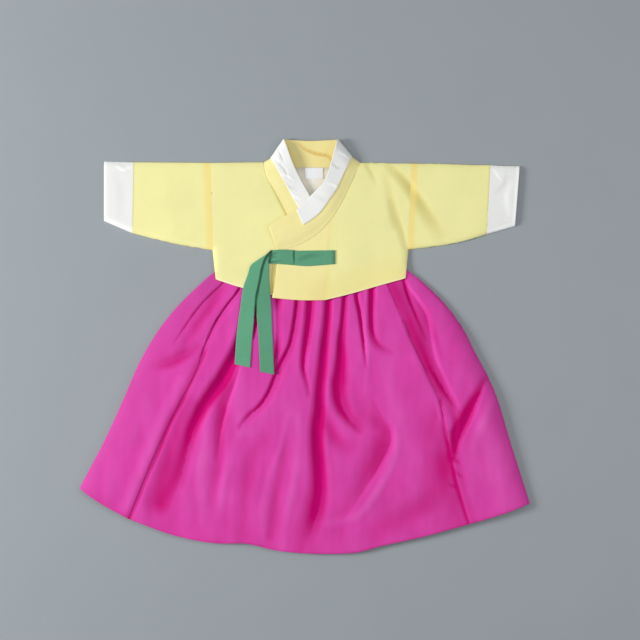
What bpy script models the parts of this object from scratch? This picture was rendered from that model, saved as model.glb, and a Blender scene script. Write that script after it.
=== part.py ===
"""Child's hanbok laid flat: a jeogori jacket over a pleated chima skirt.

Run it with blender --background --python part.py, or from the text editor. Sizes and places are in
millimetres and become metres at the end. +Y points to the neck, +Z up from the surface it lies on.
Left and right are the viewer's, looking down on the front.
"""

import math
from collections import namedtuple

import bmesh
import bpy
import numpy as np
from mathutils import Vector

COLLECTION = "korean_hanbok"
MM = 0.001

# Cloth
LINED_CLOTH = 1.5  # jacket body, sleeves and collar band, each an outer cloth with its lining
SKIRT_CLOTH = 1.2
TRIM_CLOTH = 1.0  # white collar strip, cuffs' lining, ribbon, neck lining and label
SEAM_GAP = 0.3  # between two pieces at a seam, and between two layers
SKIRT_GAP = 0.5  # between the skirt front and back where they touch

# Corners of the jacket
NECK_LEFT, NECK_RIGHT = (-71, 321), (97, 320)  # where the collar meets the shoulders
ARM_TOP_LEFT, ARM_TOP_RIGHT = (-165, 320), (186, 319)
UNDERARM_LEFT, UNDERARM_RIGHT = (-160, 170), (180, 171)
HEM_LEFT, HEM_RIGHT = (-154, 117), (175, 119)
CUFF_TOP_LEFT, CUFF_TOP_RIGHT = (-299, 321), (324, 317)  # inner corners, at the sleeve
CUFF_LOW_LEFT, CUFF_LOW_RIGHT = (-301, 200), (318, 198)
HAND_TOP_LEFT, HAND_TOP_RIGHT = (-350, 322), (375, 314)  # outer corners, at the hand
HAND_LOW_LEFT, HAND_LOW_RIGHT = (-350, 221), (367, 212)
BACK_CENTRE_X = 10
BACK_NECK_Y, BACK_HEM_Y = 312, 117

# Corners of the fronts and the collar band
NECK_UNDER_LEFT, NECK_UNDER_RIGHT = (-72, 321), (98, 320)  # the fronts, which end under the collar
SEOP_TOP, SEOP_HEM = (44, 226), (35, 81)  # seam between the outer front and its overlap panel
EDGE_UNDER = (-46, 175)  # the overlap panel's upper corner, under the collar
EDGE_TOP, EDGE_HEM = (-47, 165), (-56, 85)  # free edge of the overlap panel
BAND_TIP = (-62, 210)  # upper corner of the collar band's square end
COLLAR_LEFT, COLLAR_RIGHT = (-35, 361), (56, 361)  # ends of the collar's top edge
WHITE_TIP = (-16, 237)  # where the white strip ends on the band's edge
LEFT_ARM_LOW, LEFT_ARM_HIGH = (-22, 216), (18, 248)  # lower end of the left arm, under the right one
BACK_STRIP_LOW, BACK_STRIP_TOP = ((-46, 334), (68, 334)), ((-33, 357), (54, 357))
INNER_HEM = (52, 91)  # the inner front's corner, under the outer one

# Inside the neck
LINING_LOW, LINING_TOP = ((-32, 254), (50, 254)), ((-44, 313), (66, 313))
LABEL_LOW, LABEL_TOP = ((1, 293), (32, 293)), ((1, 312), (32, 312))

# Corners of the skirt
WAIST_LEFT, WAIST_RIGHT, WAIST_Y = -128, 148, 154
BAND_HEIGHT = 45
SEAM_TOP_LEFT, SEAM_TOP_RIGHT = (-103, WAIST_Y), (124, WAIST_Y)
SEAM_HEM_LEFT, SEAM_HEM_RIGHT = (-306, -300), (287, -309)
SKIRT_HEM_LEFT, SKIRT_HEM_RIGHT = (-392, -248), (392, -274)
BACK_INSET = 3  # the back panel ends this far inside the front's outline

# Corners of the ribbon tie
BAND_LOW, BAND_TOP = ((-18, 142), (53, 144)), ((-18, 167), (53, 168))
KNOT_LOW, KNOT_TOP = ((-59, 144), (-40, 144), (-18, 142)), ((-58, 166), (-44, 169), (-18, 168))
FRONT_TAIL_END, FRONT_TAIL_TOP = ((-77, -43), (-53, -48)), ((-63, 164), (-60, 166))
BACK_TAIL_END, BACK_TAIL_TOP = ((-121, -30), (-95, -36)), ((-70, 160), (-68, 163))

# Heights of the undersides over the surface
JACKET_SEAM = LINED_CLOTH + SEAM_GAP  # on one lined layer
WAISTBAND_CLOTH = 2 * SKIRT_CLOTH  # the band's front and back lie on each other, hidden
EDGE_ROLL, SKIRT_ROLL = 12, 36  # how far in from a folded edge the cloth has rounded over
Level = namedtuple("Level", "y height")
JACKET_LEVELS = (  # the upper layer away from its seams
    Level(330, 5.0), Level(170, 5.0), Level(150, 5.3), Level(140, 5.9), Level(120, 8.4),
    Level(100, 11.1), Level(85, 12.8), Level(78, 13.3),
)
SIDE_LEVELS = (  # the side seams, which ride up on the skirt at the hem
    Level(330, JACKET_SEAM), Level(166, JACKET_SEAM), Level(150, 2.6), Level(142, 4.0),
    Level(128, 6.6), Level(116, 8.2),
)
SKIRT_LEVELS = (  # the skirt's front between its folds
    Level(156, 3.3), Level(140, 4.2), Level(120, 6.6), Level(100, 9.4), Level(85, 11.1),
    Level(20, 15.0), Level(-100, 17.0), Level(-250, 14.0), Level(-361, 9.0),
)
TAIL_LEVELS = (
    Level(170, 9.4), Level(140, 9.8), Level(120, 10.8), Level(100, 13.4), Level(88, 14.6),
    Level(60, 14.8), Level(20, 16.8), Level(-50, 18.2),
)
FRONT_TAIL_LIFT = 1.5  # the front ribbon end over the back one, down to the jacket's hem
FRONT_TAIL_FROM, FRONT_TAIL_TO = 60, 100  # y where it starts to rise, and is up
OVERLAP_LIFT = JACKET_SEAM  # the outer front over the inner one
OVERLAP_FROM, OVERLAP_TO = 98, 66  # x where the outer front starts to rise, and is up
COLLAR_STAND = 6.0  # how far the collar's inner edge stands over its seam at the shoulder
STAND_FROM, STAND_TO = 0.35, 0.8  # shares of the arm's length where it starts to stand, and is up
CROSSING_LIFT = 1.7  # the right arm of the collar where it passes over the left one
CROSSING_TO, CROSSING_FROM = 0.55, 0.75  # shares of its length where it is up, and starts to rise
CROSSING_WIDTH = 0.6  # share of the arm's width over which it rises
COLLAR_ROLL = 0.12  # share of the arm's length that rounds over at the fold on the shoulder
COLLAR_BACK_TOP = 4.0
WHITE_START = 5 / 18  # where the white strip ends, as a share of the right arm from its square end
KNOT_PEAK_X, BAND_JOIN_X = -44, -18
KNOT_HEIGHTS = 10.9, 9.8  # over the collar's end, and where the knot meets the band
BACK_RISE_FROM, BACK_RISE_TO = 50, 86  # y where the skirt back rises onto the jacket back

# Folds: a path down the fold, its half widths at the start and end, its depths at the start,
# middle and end (a ridge is below zero), and how far its left side (+) is wider than its right
Fold = namedtuple("Fold", "name path half depth lean")
SKIRT_FOLDS = (
    Fold("left pleat", ((-141, 130), (-145, 113), (-187, 60), (-231, 4)), (9, 9), (2, 7, 3), 0.3),
    Fold("left seam pleat", ((-113, 130), (-122, 101), (-171, 27), (-187, -24), (-207, -70)),
         (10, 10), (2.5, 8, 2), 0.4),
    Fold("left hollow", ((-262, -12), (-242, -32), (-212, -18), (-190, 0)), (16, 14),
         (2, 6, 2.5), 0),
    Fold("under ribbons",
         ((-100, 130), (-112, 81), (-120, 11), (-140, -39), (-182, -106), (-218, -174)),
         (12, 18), (3, 13, 3), 0),
    Fold("between ribbons", ((-80, 125), (-82, 81), (-85, 53), (-90, 25)), (8, 9), (3, 9, 5), 0),
    Fold("beside ribbons", ((-60, 125), (-54, 88), (-42, 66), (-36, 45)), (9, 8), (3, 8, 2), 0),
    Fold("curling left", ((-20, 130), (-18, 80), (-26, 8), (-50, -46), (-62, -76), (-100, -122)),
         (8, 15), (2.5, 10, 4), 0),
    Fold("short middle", ((12, 130), (8, 78), (-3, 29), (-5, -8), (3, -66)), (9, 9),
         (2.5, 9, 3), 0),
    Fold("main", ((38, 130), (39, 78), (35, 18), (23, -95), (16, -150), (23, -225), (-8, -330)),
         (9, 22), (3, 13.5, 7), 0),
    Fold("curling right", ((68, 130), (69, 87), (65, 18), (56, -67), (70, -123), (102, -150)),
         (8, 13), (3, 11, 3.5), 0),
    Fold("thin pleat", ((88, 130), (92, 94), (100, 18), (104, -14)), (7, 7), (2.5, 7, 2), 0.4),
    Fold("tucked pleat", ((110, 130), (113, 102), (116, 50), (122, 14), (140, -7)), (8, 8),
         (3, 10, 2), -0.3),
    Fold("right pleat", ((138, 130), (154, 108), (174, 60), (200, 0), (236, -70), (262, -116)),
         (13, 13), (3, 12, 5), -0.4),
    Fold("right diagonal", ((308, -62), (277, -114), (262, -150), (258, -190)), (15, 12),
         (6, 10, 1), 0),
    Fold("right curl", ((100, -143), (144, -169), (127, -211), (97, -246), (54, -280)),
         (14, 18), (3, 9, 3), 0),
    Fold("left valley", ((-215, -181), (-232, -234), (-256, -290)), (18, 20), (3, 5, 3), 0),
    Fold("left ridge", ((-140, -146), (-159, -216), (-177, -312)), (22, 26), (-2, -4, -2), 0),
    Fold("middle valley", ((-92, -146), (-112, -234), (-127, -330)), (20, 26), (3, 6, 4), 0),
    Fold("middle ridge", ((-10, -83), (-26, -181), (-50, -283), (-58, -345)), (20, 26),
         (-1, -4, -2), 0),
    Fold("right ridge", ((163, -160), (147, -209), (116, -265), (60, -318)), (18, 22),
         (-1, -4, -2), 0),
    Fold("right valley", ((205, -160), (219, -190), (246, -241), (258, -285)), (20, 18),
         (2, 5, 2), 0),
)
JACKET_FOLDS = (
    Fold("right chest", ((150, 312), (188, 272), (218, 228), (246, 190)), (14, 14),
         (0.3, 1.5, 0.5), 0),
    Fold("right body", ((150, 262), (166, 215), (176, 180)), (11, 9), (0.3, 1.1, 0.4), 0),
    Fold("left chest", ((-140, 290), (-128, 240), (-140, 190)), (14, 14), (0.2, 0.9, 0.3), 0),
    Fold("left sleeve", ((-185, 214), (-222, 236), (-262, 246)), (13, 11), (0.4, 0.9, 0.2), 0),
)

# Finishes: sRGB colour, roughness
Finish = namedtuple("Finish", "colour roughness")
YELLOW = Finish("EFE8A4", 0.62)
COLLAR_YELLOW = Finish("F6EAA4", 0.58)
WHITE = Finish("F0F0EC", 0.4)
LINING = Finish("CFCBC0", 0.7)
GREEN = Finish("5BA07B", 0.6)
MAGENTA = Finish("D93A9E", 0.5)


# Curves and patches

def shares(at):
    """How far along each point is, from 0 to 1."""
    run = np.concatenate([[0], np.cumsum(np.hypot(*np.diff(at, axis=0).T))])
    return run / run[-1]


def straight(*points):
    """A path with corners through the points, as a function of 0..1."""
    at = np.array(points, float)
    knots = shares(at)
    return lambda t: np.column_stack([np.interp(t, knots, at[:, k]) for k in (0, 1)])


def curve(*points):
    """A smooth path through the points, as a function of 0..1."""
    at = np.array(points, float)
    knots = shares(at)
    slopes = np.gradient(at, knots, axis=0)

    def place(t):
        i = np.clip(np.searchsorted(knots, t, "right") - 1, 0, len(knots) - 2)
        span = knots[i + 1] - knots[i]
        s, span = ((t - knots[i]) / span)[:, None], span[:, None]
        return (
            (1 + 2 * s) * (1 - s) ** 2 * at[i] + s * (1 - s) ** 2 * span * slopes[i]
            + s**2 * (3 - 2 * s) * at[i + 1] + s**2 * (s - 1) * span * slopes[i + 1]
        )

    return place


def patch(bottom, top, left, right):
    """A flat patch between four edges, as a function of u across and v up, half a gap inside them."""

    def inside(t, size):
        margin = 0.5 * SEAM_GAP / size
        return margin + (1 - 2 * margin) * t

    def place(u, v):
        across = np.hypot(*(right(v) - left(v)).T)
        up = np.hypot(*(top(u) - bottom(u)).T)
        u, v = inside(u, np.maximum(across, 1)), inside(v, np.maximum(up, 1))
        low, high, near, far = bottom(u), top(u), left(v), right(v)
        first, last = np.zeros(1), np.ones(1)
        u, v = u[:, None], v[:, None]
        corners = (
            (1 - u) * (1 - v) * bottom(first) + u * (1 - v) * bottom(last)
            + (1 - u) * v * top(first) + u * v * top(last)
        )
        return (1 - v) * low + v * high + (1 - u) * near + u * far - corners

    return place


def panel(low, top):
    """A patch with straight edges between two lower and two upper corners."""
    return patch(
        straight(*low), straight(*top), straight(low[0], top[0]), straight(low[-1], top[-1])
    )


def even(t):
    return t


def both_ends(t):
    """Closer together at both ends, where an edge rounds over."""
    return 0.5 - 0.5 * np.cos(math.pi * t)


def at_start(t):
    return 1 - np.cos(0.5 * math.pi * t)


def at_end(t):
    return np.sin(0.5 * math.pi * t)


# Heights

def smooth(t):
    t = np.clip(t, 0, 1)
    return t * t * (3 - 2 * t)


def ramp(value, start, end):
    """0 before the start, 1 past the end, which may be the lower of the two."""
    return smooth((value - start) / (end - start))


def rounded(t):
    """0 at a folded edge, 1 where the cloth has rounded over."""
    t = np.clip(t, 0, 1)
    return np.sqrt(np.maximum(1 - (1 - t) ** 2, 0))


def level(levels, y):
    rows = sorted(levels)
    return np.interp(y, [row.y for row in rows], [row.height for row in rows])


def nearest(xy, path, samples=13):
    """Each point's distance to the path, its side of it (1 is left, looking along) and how far along."""
    line = path(np.linspace(0, 1, samples))
    start, run = line[:-1], np.diff(line, axis=0)
    from_start = xy[:, None] - start
    t = np.clip((from_start * run).sum(2) / (run**2).sum(1), 0, 1)
    off = from_start - t[..., None] * run
    away = np.hypot(off[..., 0], off[..., 1])
    i, every = away.argmin(1), np.arange(len(xy))
    side = np.sign(run[i, 0] * off[every, i, 1] - run[i, 1] * off[every, i, 0])
    return away[every, i], side, (i + t[every, i]) / (samples - 1)


def relief(xy, folds):
    """How deep the folds are at each point."""
    total = np.zeros(len(xy))
    for fold in folds:
        away, side, along = nearest(xy, curve(*fold.path))
        half = np.interp(along, (0, 1), fold.half) * (1 - fold.lean * side)
        depth = np.interp(along, (0, 0.5, 1), fold.depth)
        total += depth * np.cos(0.5 * math.pi * np.clip(away / half, 0, 1)) ** 2
    return total


def jacket_height(xy):
    """Underside of the jacket's upper layer, which rounds down to the back at the joined edges."""
    away = np.min([nearest(xy, edge, 9)[0] for edge in JOINED_EDGES], axis=0)
    low = np.where(xy[:, 1] > UNDERARM_LEFT[1] + 4, JACKET_SEAM, level(SIDE_LEVELS, xy[:, 1]))
    high = level(JACKET_LEVELS, xy[:, 1]) - relief(xy, JACKET_FOLDS)
    return low + (high - low) * rounded(away / EDGE_ROLL)


def outer_height(xy):
    """Underside of the outer front, which lies on the inner one."""
    return jacket_height(xy) + OVERLAP_LIFT * ramp(xy[:, 0], OVERLAP_FROM, OVERLAP_TO)


def skirt_back_height(xy):
    """Underside of the skirt's back: flat on the surface, then up onto the jacket's back."""
    return JACKET_SEAM * ramp(xy[:, 1], BACK_RISE_FROM, BACK_RISE_TO)


def skirt_height(xy):
    """Underside of the skirt's front, which rounds down to the back at its sides."""
    low = skirt_back_height(xy) + SKIRT_CLOTH + SKIRT_GAP
    away = np.min([nearest(xy, side, 25)[0] for side in (SKIRT_LEFT, SKIRT_RIGHT)], axis=0)
    high = np.maximum(level(SKIRT_LEVELS, xy[:, 1]) - relief(xy, SKIRT_FOLDS), low)
    return low + (high - low) * rounded(away / SKIRT_ROLL)


def collar_back_height(xy):
    """Underside of the collar's back, which leans back from the neck seam."""
    return COLLAR_BACK_TOP * ramp(xy[:, 1], BACK_NECK_Y, COLLAR_LEFT[1])


# Edges that more than one piece or height uses

ARMHOLE_LEFT = straight(UNDERARM_LEFT, ARM_TOP_LEFT)
ARMHOLE_RIGHT = straight(UNDERARM_RIGHT, ARM_TOP_RIGHT)
SLEEVE_LOW_LEFT = curve(CUFF_LOW_LEFT, (-243, 185), (-187, 174), UNDERARM_LEFT)
SLEEVE_LOW_RIGHT = curve(UNDERARM_RIGHT, (230, 177), (272, 184), CUFF_LOW_RIGHT)
SIDE_LEFT = straight(HEM_LEFT, UNDERARM_LEFT, ARM_TOP_LEFT)
SIDE_RIGHT = straight(HEM_RIGHT, UNDERARM_RIGHT, ARM_TOP_RIGHT)
JOINED_EDGES = (
    straight(HAND_TOP_LEFT, NECK_LEFT),
    straight(NECK_RIGHT, (244, 318), HAND_TOP_RIGHT),
    straight(HAND_LOW_LEFT, CUFF_LOW_LEFT),
    straight(CUFF_LOW_RIGHT, HAND_LOW_RIGHT),
    SLEEVE_LOW_LEFT,
    SLEEVE_LOW_RIGHT,
    straight(HEM_LEFT, UNDERARM_LEFT),
    straight(HEM_RIGHT, UNDERARM_RIGHT),
)
SEOP_SEAM = curve(SEOP_HEM, (38, 137), SEOP_TOP)
BAND_SEAM_RIGHT = curve(EDGE_TOP, (-3, 181), (28, 202), (46, 222), (83, 290), NECK_RIGHT)
BAND_SEAM_LEFT = curve(LEFT_ARM_LOW, (-31, 232), (-50, 268), (-68, 303), NECK_LEFT)
NECK_EDGE_RIGHT = curve(
    BAND_TIP, (-29, 230), WHITE_TIP, (10, 262), (35, 290), (47, 326), COLLAR_RIGHT
)
NECK_EDGE_LEFT = curve(LEFT_ARM_HIGH, (9, 263), (-6, 289), (-20, 318), COLLAR_LEFT)
FOLD_LEFT = straight(NECK_LEFT, (-58, 328), COLLAR_LEFT)
FOLD_RIGHT = straight(COLLAR_RIGHT, (81, 331), NECK_RIGHT)
SKIRT_LEFT = curve(
    SKIRT_HEM_LEFT, (-348, -164), (-316, -94), (-285, -24), (-241, 46), (-173, 116),
    (WAIST_LEFT, WAIST_Y),
)
SKIRT_RIGHT = curve(
    SKIRT_HEM_RIGHT, (357, -164), (336, -94), (328, -72), (294, -6), (279, 25), (200, 116),
    (WAIST_RIGHT, WAIST_Y),
)
SKIRT_SEAM_LEFT = curve(
    SEAM_HEM_LEFT, (-259, -185), (-220, -104), (-187, -40), (-166, 27), (-117, 102),
    SEAM_TOP_LEFT,
)
SKIRT_SEAM_RIGHT = curve(
    SEAM_HEM_RIGHT, (252, -185), (238, -97), (191, 1), (144, 106), SEAM_TOP_RIGHT
)


# Building

def srgb_to_linear(code):
    values = [int(code[i:i + 2], 16) / 255 for i in (0, 2, 4)]
    return [v / 12.92 if v <= 0.04045 else ((v + 0.055) / 1.055) ** 2.4 for v in values] + [1]


def material(name, finish):
    made = bpy.data.materials.new(name)
    made.use_nodes = True
    shader = made.node_tree.nodes["Principled BSDF"]
    shader.inputs["Base Color"].default_value = srgb_to_linear(finish.colour)
    shader.inputs["Roughness"].default_value = finish.roughness
    shader.inputs["Metallic"].default_value = 0
    return made


def normals(surface, u, v, step=0.004):
    """The surface's own normals, from how it changes with u and v."""
    def change(du, dv):
        return surface(np.clip(u + du, 0, 1), np.clip(v + dv, 0, 1))

    turned = np.cross(change(step, 0) - change(-step, 0), change(0, step) - change(0, -step))
    return turned / np.linalg.norm(turned, axis=1)[:, None]


def lay(place, height):
    """The underside of a piece: its patch, lifted to its height."""
    def surface(u, v):
        xy = place(u, v)
        return np.column_stack([xy, height(xy, u, v)])

    return surface


def strip_on(surface, share, start):
    """What lies on part of a piece: the piece's own points, moved out through its wall."""
    def across(u, v):
        v = start + (1 - start) * v
        low, high = share(v)
        return low + (high - low) * u, v

    def strip(u, v):
        at = across(u, v)
        return surface(*at) + JACKET_SEAM * normals(surface, *at)

    return strip


def wall(name, surface, cells, thickness, finish, spread=(even, even)):
    """A cloth wall: a grid put on its surface and extruded by its thickness."""
    grid = bmesh.new()
    bmesh.ops.create_grid(grid, x_segments=cells[0], y_segments=cells[1], size=0.5)
    u = spread[0](np.array([vert.co.x + 0.5 for vert in grid.verts]))
    v = spread[1](np.array([vert.co.y + 0.5 for vert in grid.verts]))
    low, up = surface(u, v), normals(surface, u, v)
    for vert, point in zip(grid.verts, low):
        vert.co = Vector(point) * MM
    outer = dict(zip([tuple(vert.co) for vert in grid.verts], low + thickness * up))
    moved = bmesh.ops.extrude_face_region(grid, geom=grid.faces[:], use_keep_orig=True)
    for vert in [item for item in moved["geom"] if isinstance(item, bmesh.types.BMVert)]:
        vert.co = Vector(outer[tuple(vert.co)]) * MM
    bmesh.ops.recalc_face_normals(grid, faces=grid.faces[:])
    mesh = bpy.data.meshes.new(name)
    grid.to_mesh(mesh)
    grid.free()
    mesh.shade_smooth()
    mesh.set_sharp_from_angle(angle=math.radians(50))
    mesh.materials.append(material(name + "_cloth", finish))
    bpy.data.collections[COLLECTION].objects.link(bpy.data.objects.new(name, mesh))


def flat(height):
    return lambda xy, u, v: np.full(len(xy), float(height))


def over(rule, lift=0.0):
    """A height rule of x and y alone, raised by the layers under it."""
    return lambda xy, u, v: rule(xy) + lift


# Skirt

def skirt_back():
    def inset(side, shift):
        points = [tuple(p) for p in side(np.linspace(0, 1, 9)) + np.array([shift, 0])]
        points[0] = (points[0][0], points[0][1] + BACK_INSET)
        return curve(*points)

    left, right = inset(SKIRT_LEFT, BACK_INSET), inset(SKIRT_RIGHT, -BACK_INSET)
    low_left, top_left = left(np.array([0, 1]))
    low_right, top_right = right(np.array([0, 1]))
    hem = curve(
        low_left, (-219, -326), (-94, -339), (30, -356), (134, -342), (261, -312), low_right
    )
    place = patch(hem, straight(top_left, top_right), left, right)
    wall("chima_back", lay(place, over(skirt_back_height)), (10, 24), SKIRT_CLOTH, MAGENTA)


def skirt_front():
    hem_left = curve(SKIRT_HEM_LEFT, (-348, -277), SEAM_HEM_LEFT)
    hem_centre = curve(
        SEAM_HEM_LEFT, (-222, -330), (-159, -342), (-96, -344), (-54, -354), (30, -361),
        (93, -358), (135, -347), (198, -333), SEAM_HEM_RIGHT,
    )
    hem_right = curve(SEAM_HEM_RIGHT, (340, -293), SKIRT_HEM_RIGHT)
    top_left = straight((WAIST_LEFT, WAIST_Y), SEAM_TOP_LEFT)
    top_centre = straight(SEAM_TOP_LEFT, SEAM_TOP_RIGHT)
    top_right = straight(SEAM_TOP_RIGHT, (WAIST_RIGHT, WAIST_Y))
    left = lay(patch(hem_left, top_left, SKIRT_LEFT, SKIRT_SEAM_LEFT), over(skirt_height))
    centre = lay(
        patch(hem_centre, top_centre, SKIRT_SEAM_LEFT, SKIRT_SEAM_RIGHT), over(skirt_height)
    )
    right = lay(patch(hem_right, top_right, SKIRT_SEAM_RIGHT, SKIRT_RIGHT), over(skirt_height))
    wall("chima_front_left", left, (10, 24), SKIRT_CLOTH, MAGENTA, (at_start, even))
    wall("chima_front_centre", centre, (56, 24), SKIRT_CLOTH, MAGENTA)
    wall("chima_front_right", right, (12, 24), SKIRT_CLOTH, MAGENTA, (at_end, even))


def waistband():
    low = (WAIST_LEFT, WAIST_Y), (WAIST_RIGHT, WAIST_Y)
    top = (WAIST_LEFT, WAIST_Y + BAND_HEIGHT), (WAIST_RIGHT, WAIST_Y + BAND_HEIGHT)
    surface = lay(panel(low, top), flat(JACKET_SEAM))
    wall("chima_waistband", surface, (6, 1), WAISTBAND_CLOTH, MAGENTA)


# Jacket

def jacket_back():
    """Two halves with a seam down the middle."""
    neck, hem = (BACK_CENTRE_X, BACK_NECK_Y), (BACK_CENTRE_X, BACK_HEM_Y)
    centre = straight(hem, neck)
    top_left = straight(ARM_TOP_LEFT, NECK_LEFT, (-35, 313), neck)
    top_right = straight(neck, (56, 313), NECK_RIGHT, ARM_TOP_RIGHT)
    left = patch(straight(HEM_LEFT, hem), top_left, SIDE_LEFT, centre)
    right = patch(straight(hem, HEM_RIGHT), top_right, centre, SIDE_RIGHT)
    wall("jeogori_back_left", lay(left, flat(0)), (8, 4), LINED_CLOTH, YELLOW)
    wall("jeogori_back_right", lay(right, flat(0)), (8, 4), LINED_CLOTH, YELLOW)


def inner_front():
    """The left front, whose edge lies under the outer one."""
    edge = straight(
        INNER_HEM, (52, 150), (-12, 212), (-22, 235), (-57, 296), (-72, 312), NECK_UNDER_LEFT
    )
    hem = curve(HEM_LEFT, (-117, 105), (-57, 90), (-8, 87), INNER_HEM)
    place = patch(hem, straight(ARM_TOP_LEFT, NECK_UNDER_LEFT), SIDE_LEFT, edge)
    surface = lay(place, over(jacket_height))
    wall("jeogori_front_inner", surface, (12, 14), LINED_CLOTH, YELLOW, (at_start, both_ends))


def outer_front():
    """The right front and the overlap panel sewn to its edge."""
    edge = straight(SEOP_HEM, (38, 137), SEOP_TOP, (68, 284), (93, 304), NECK_UNDER_RIGHT)
    hem = curve(SEOP_HEM, (76, 91), (132, 107), HEM_RIGHT)
    place = patch(hem, straight(NECK_UNDER_RIGHT, ARM_TOP_RIGHT), edge, SIDE_RIGHT)
    surface = lay(place, over(outer_height))
    wall("jeogori_front_outer", surface, (10, 14), LINED_CLOTH, YELLOW, (at_end, both_ends))

    seop = patch(
        curve(EDGE_HEM, (-8, 81), SEOP_HEM), curve(EDGE_UNDER, (-8, 191), (22, 211), SEOP_TOP),
        straight(EDGE_HEM, (-48, 143), EDGE_UNDER), SEOP_SEAM,
    )
    wall("jeogori_seop_outer", lay(seop, over(outer_height)), (5, 8), LINED_CLOTH, YELLOW)


def sleeve(side, top, low, left, right):
    """A sleeve's two layers; it is cut in one, folded along the top."""
    place = patch(low, top, left, right)
    upper = lay(place, over(jacket_height))
    wall(f"sleeve_{side}_back", lay(place, flat(0)), (6, 2), LINED_CLOTH, YELLOW)
    wall(f"sleeve_{side}_front", upper, (12, 10), LINED_CLOTH, YELLOW, (even, both_ends))


def cuff(side, low, top):
    """A white cuff's two layers, folded along the top like the sleeve."""
    place = panel(low, top)
    upper = lay(place, over(jacket_height))
    wall(f"cuff_{side}_back", lay(place, flat(0)), (2, 2), LINED_CLOTH, WHITE)
    wall(f"cuff_{side}_front", upper, (4, 10), LINED_CLOTH, WHITE, (even, both_ends))


def sleeves():
    cuff_left = straight(CUFF_LOW_LEFT, CUFF_TOP_LEFT)
    cuff_right = straight(CUFF_LOW_RIGHT, CUFF_TOP_RIGHT)
    top_left = straight(CUFF_TOP_LEFT, ARM_TOP_LEFT)
    top_right = straight(ARM_TOP_RIGHT, (244, 318), CUFF_TOP_RIGHT)
    sleeve("left", top_left, SLEEVE_LOW_LEFT, cuff_left, ARMHOLE_LEFT)
    sleeve("right", top_right, SLEEVE_LOW_RIGHT, ARMHOLE_RIGHT, cuff_right)
    cuff("left", (HAND_LOW_LEFT, CUFF_LOW_LEFT), (HAND_TOP_LEFT, CUFF_TOP_LEFT))
    cuff("right", (CUFF_LOW_RIGHT, HAND_LOW_RIGHT), (CUFF_TOP_RIGHT, HAND_TOP_RIGHT))


# Collar

def arm_height(rule, to_neck, crossing):
    """An arm of the collar: it stands up at its neck edge and folds down at its top."""
    def height(xy, u, v):
        inward = to_neck(u)
        stand = COLLAR_STAND * ramp(v, STAND_FROM, STAND_TO) * inward
        lift = crossing * ramp(inward, 0, CROSSING_WIDTH) * ramp(v, CROSSING_FROM, CROSSING_TO)
        folded = collar_back_height(xy) + JACKET_SEAM
        spread = np.maximum(rule(xy) + JACKET_SEAM + stand + lift, folded)
        return folded + (spread - folded) * rounded((1 - v) / COLLAR_ROLL)

    return height


def collar():
    left = patch(straight(LEFT_ARM_LOW, LEFT_ARM_HIGH), FOLD_LEFT, BAND_SEAM_LEFT, NECK_EDGE_LEFT)
    right = patch(straight(BAND_TIP, EDGE_TOP), FOLD_RIGHT, NECK_EDGE_RIGHT, BAND_SEAM_RIGHT)
    back = patch(
        straight(NECK_LEFT, (-35, 313), (56, 313), NECK_RIGHT),
        curve(COLLAR_LEFT, (9, 359), COLLAR_RIGHT), FOLD_LEFT, lambda t: FOLD_RIGHT(1 - t),
    )
    left = lay(left, arm_height(jacket_height, lambda u: u, 0))
    right = lay(right, arm_height(outer_height, lambda u: 1 - u, CROSSING_LIFT))
    wall("git_back", lay(back, over(collar_back_height)), (10, 4), LINED_CLOTH, COLLAR_YELLOW)
    wall("git_left", left, (4, 12), LINED_CLOTH, COLLAR_YELLOW, (even, at_end))
    wall("git_right", right, (3, 18), LINED_CLOTH, COLLAR_YELLOW)
    white_strips(left, right)


def white_strips(left, right):
    """The white strip sewn on the band's neck edge, and its back, which faces down."""
    def left_share(v):
        return np.interp(v, (0, 0.56, 0.84, 1), (0.465, 0.45, 0.4, 0.27)), np.ones(len(v))

    def right_share(v):
        outer = np.interp(v, (0.28, 0.45, 0.6, 0.75, 1), (0.5, 0.575, 0.525, 0.61, 0.667))
        return np.zeros(len(v)), outer

    left, right = strip_on(left, left_share, 0), strip_on(right, right_share, WHITE_START)
    back = panel(BACK_STRIP_LOW, BACK_STRIP_TOP)
    back = lay(back, over(collar_back_height, -TRIM_CLOTH - SEAM_GAP))
    wall("dongjeong_left", left, (2, 12), TRIM_CLOTH, WHITE, (even, at_end))
    wall("dongjeong_right", right, (2, 13), TRIM_CLOTH, WHITE)
    wall("dongjeong_back", back, (8, 2), TRIM_CLOTH, WHITE)


def neck_inside():
    """What shows of the lining through the neck, and the bare label sewn at its top."""
    lining = lay(panel(LINING_LOW, LINING_TOP), flat(JACKET_SEAM))
    label = lay(panel(LABEL_LOW, LABEL_TOP), flat(JACKET_SEAM + TRIM_CLOTH + SEAM_GAP))
    wall("neck_lining", lining, (4, 2), TRIM_CLOTH, LINING)
    wall("neck_label", label, (1, 1), TRIM_CLOTH, WHITE)


# Ribbon tie

def tail_height(xy, u, v):
    return level(TAIL_LEVELS, xy[:, 1])


def front_tail_height(xy, u, v):
    lift = FRONT_TAIL_LIFT * ramp(xy[:, 1], FRONT_TAIL_FROM, FRONT_TAIL_TO)
    return tail_height(xy, u, v) + lift


def knot_height(xy, u, v):
    return np.interp(xy[:, 0], (KNOT_PEAK_X, BAND_JOIN_X), KNOT_HEIGHTS)


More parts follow.
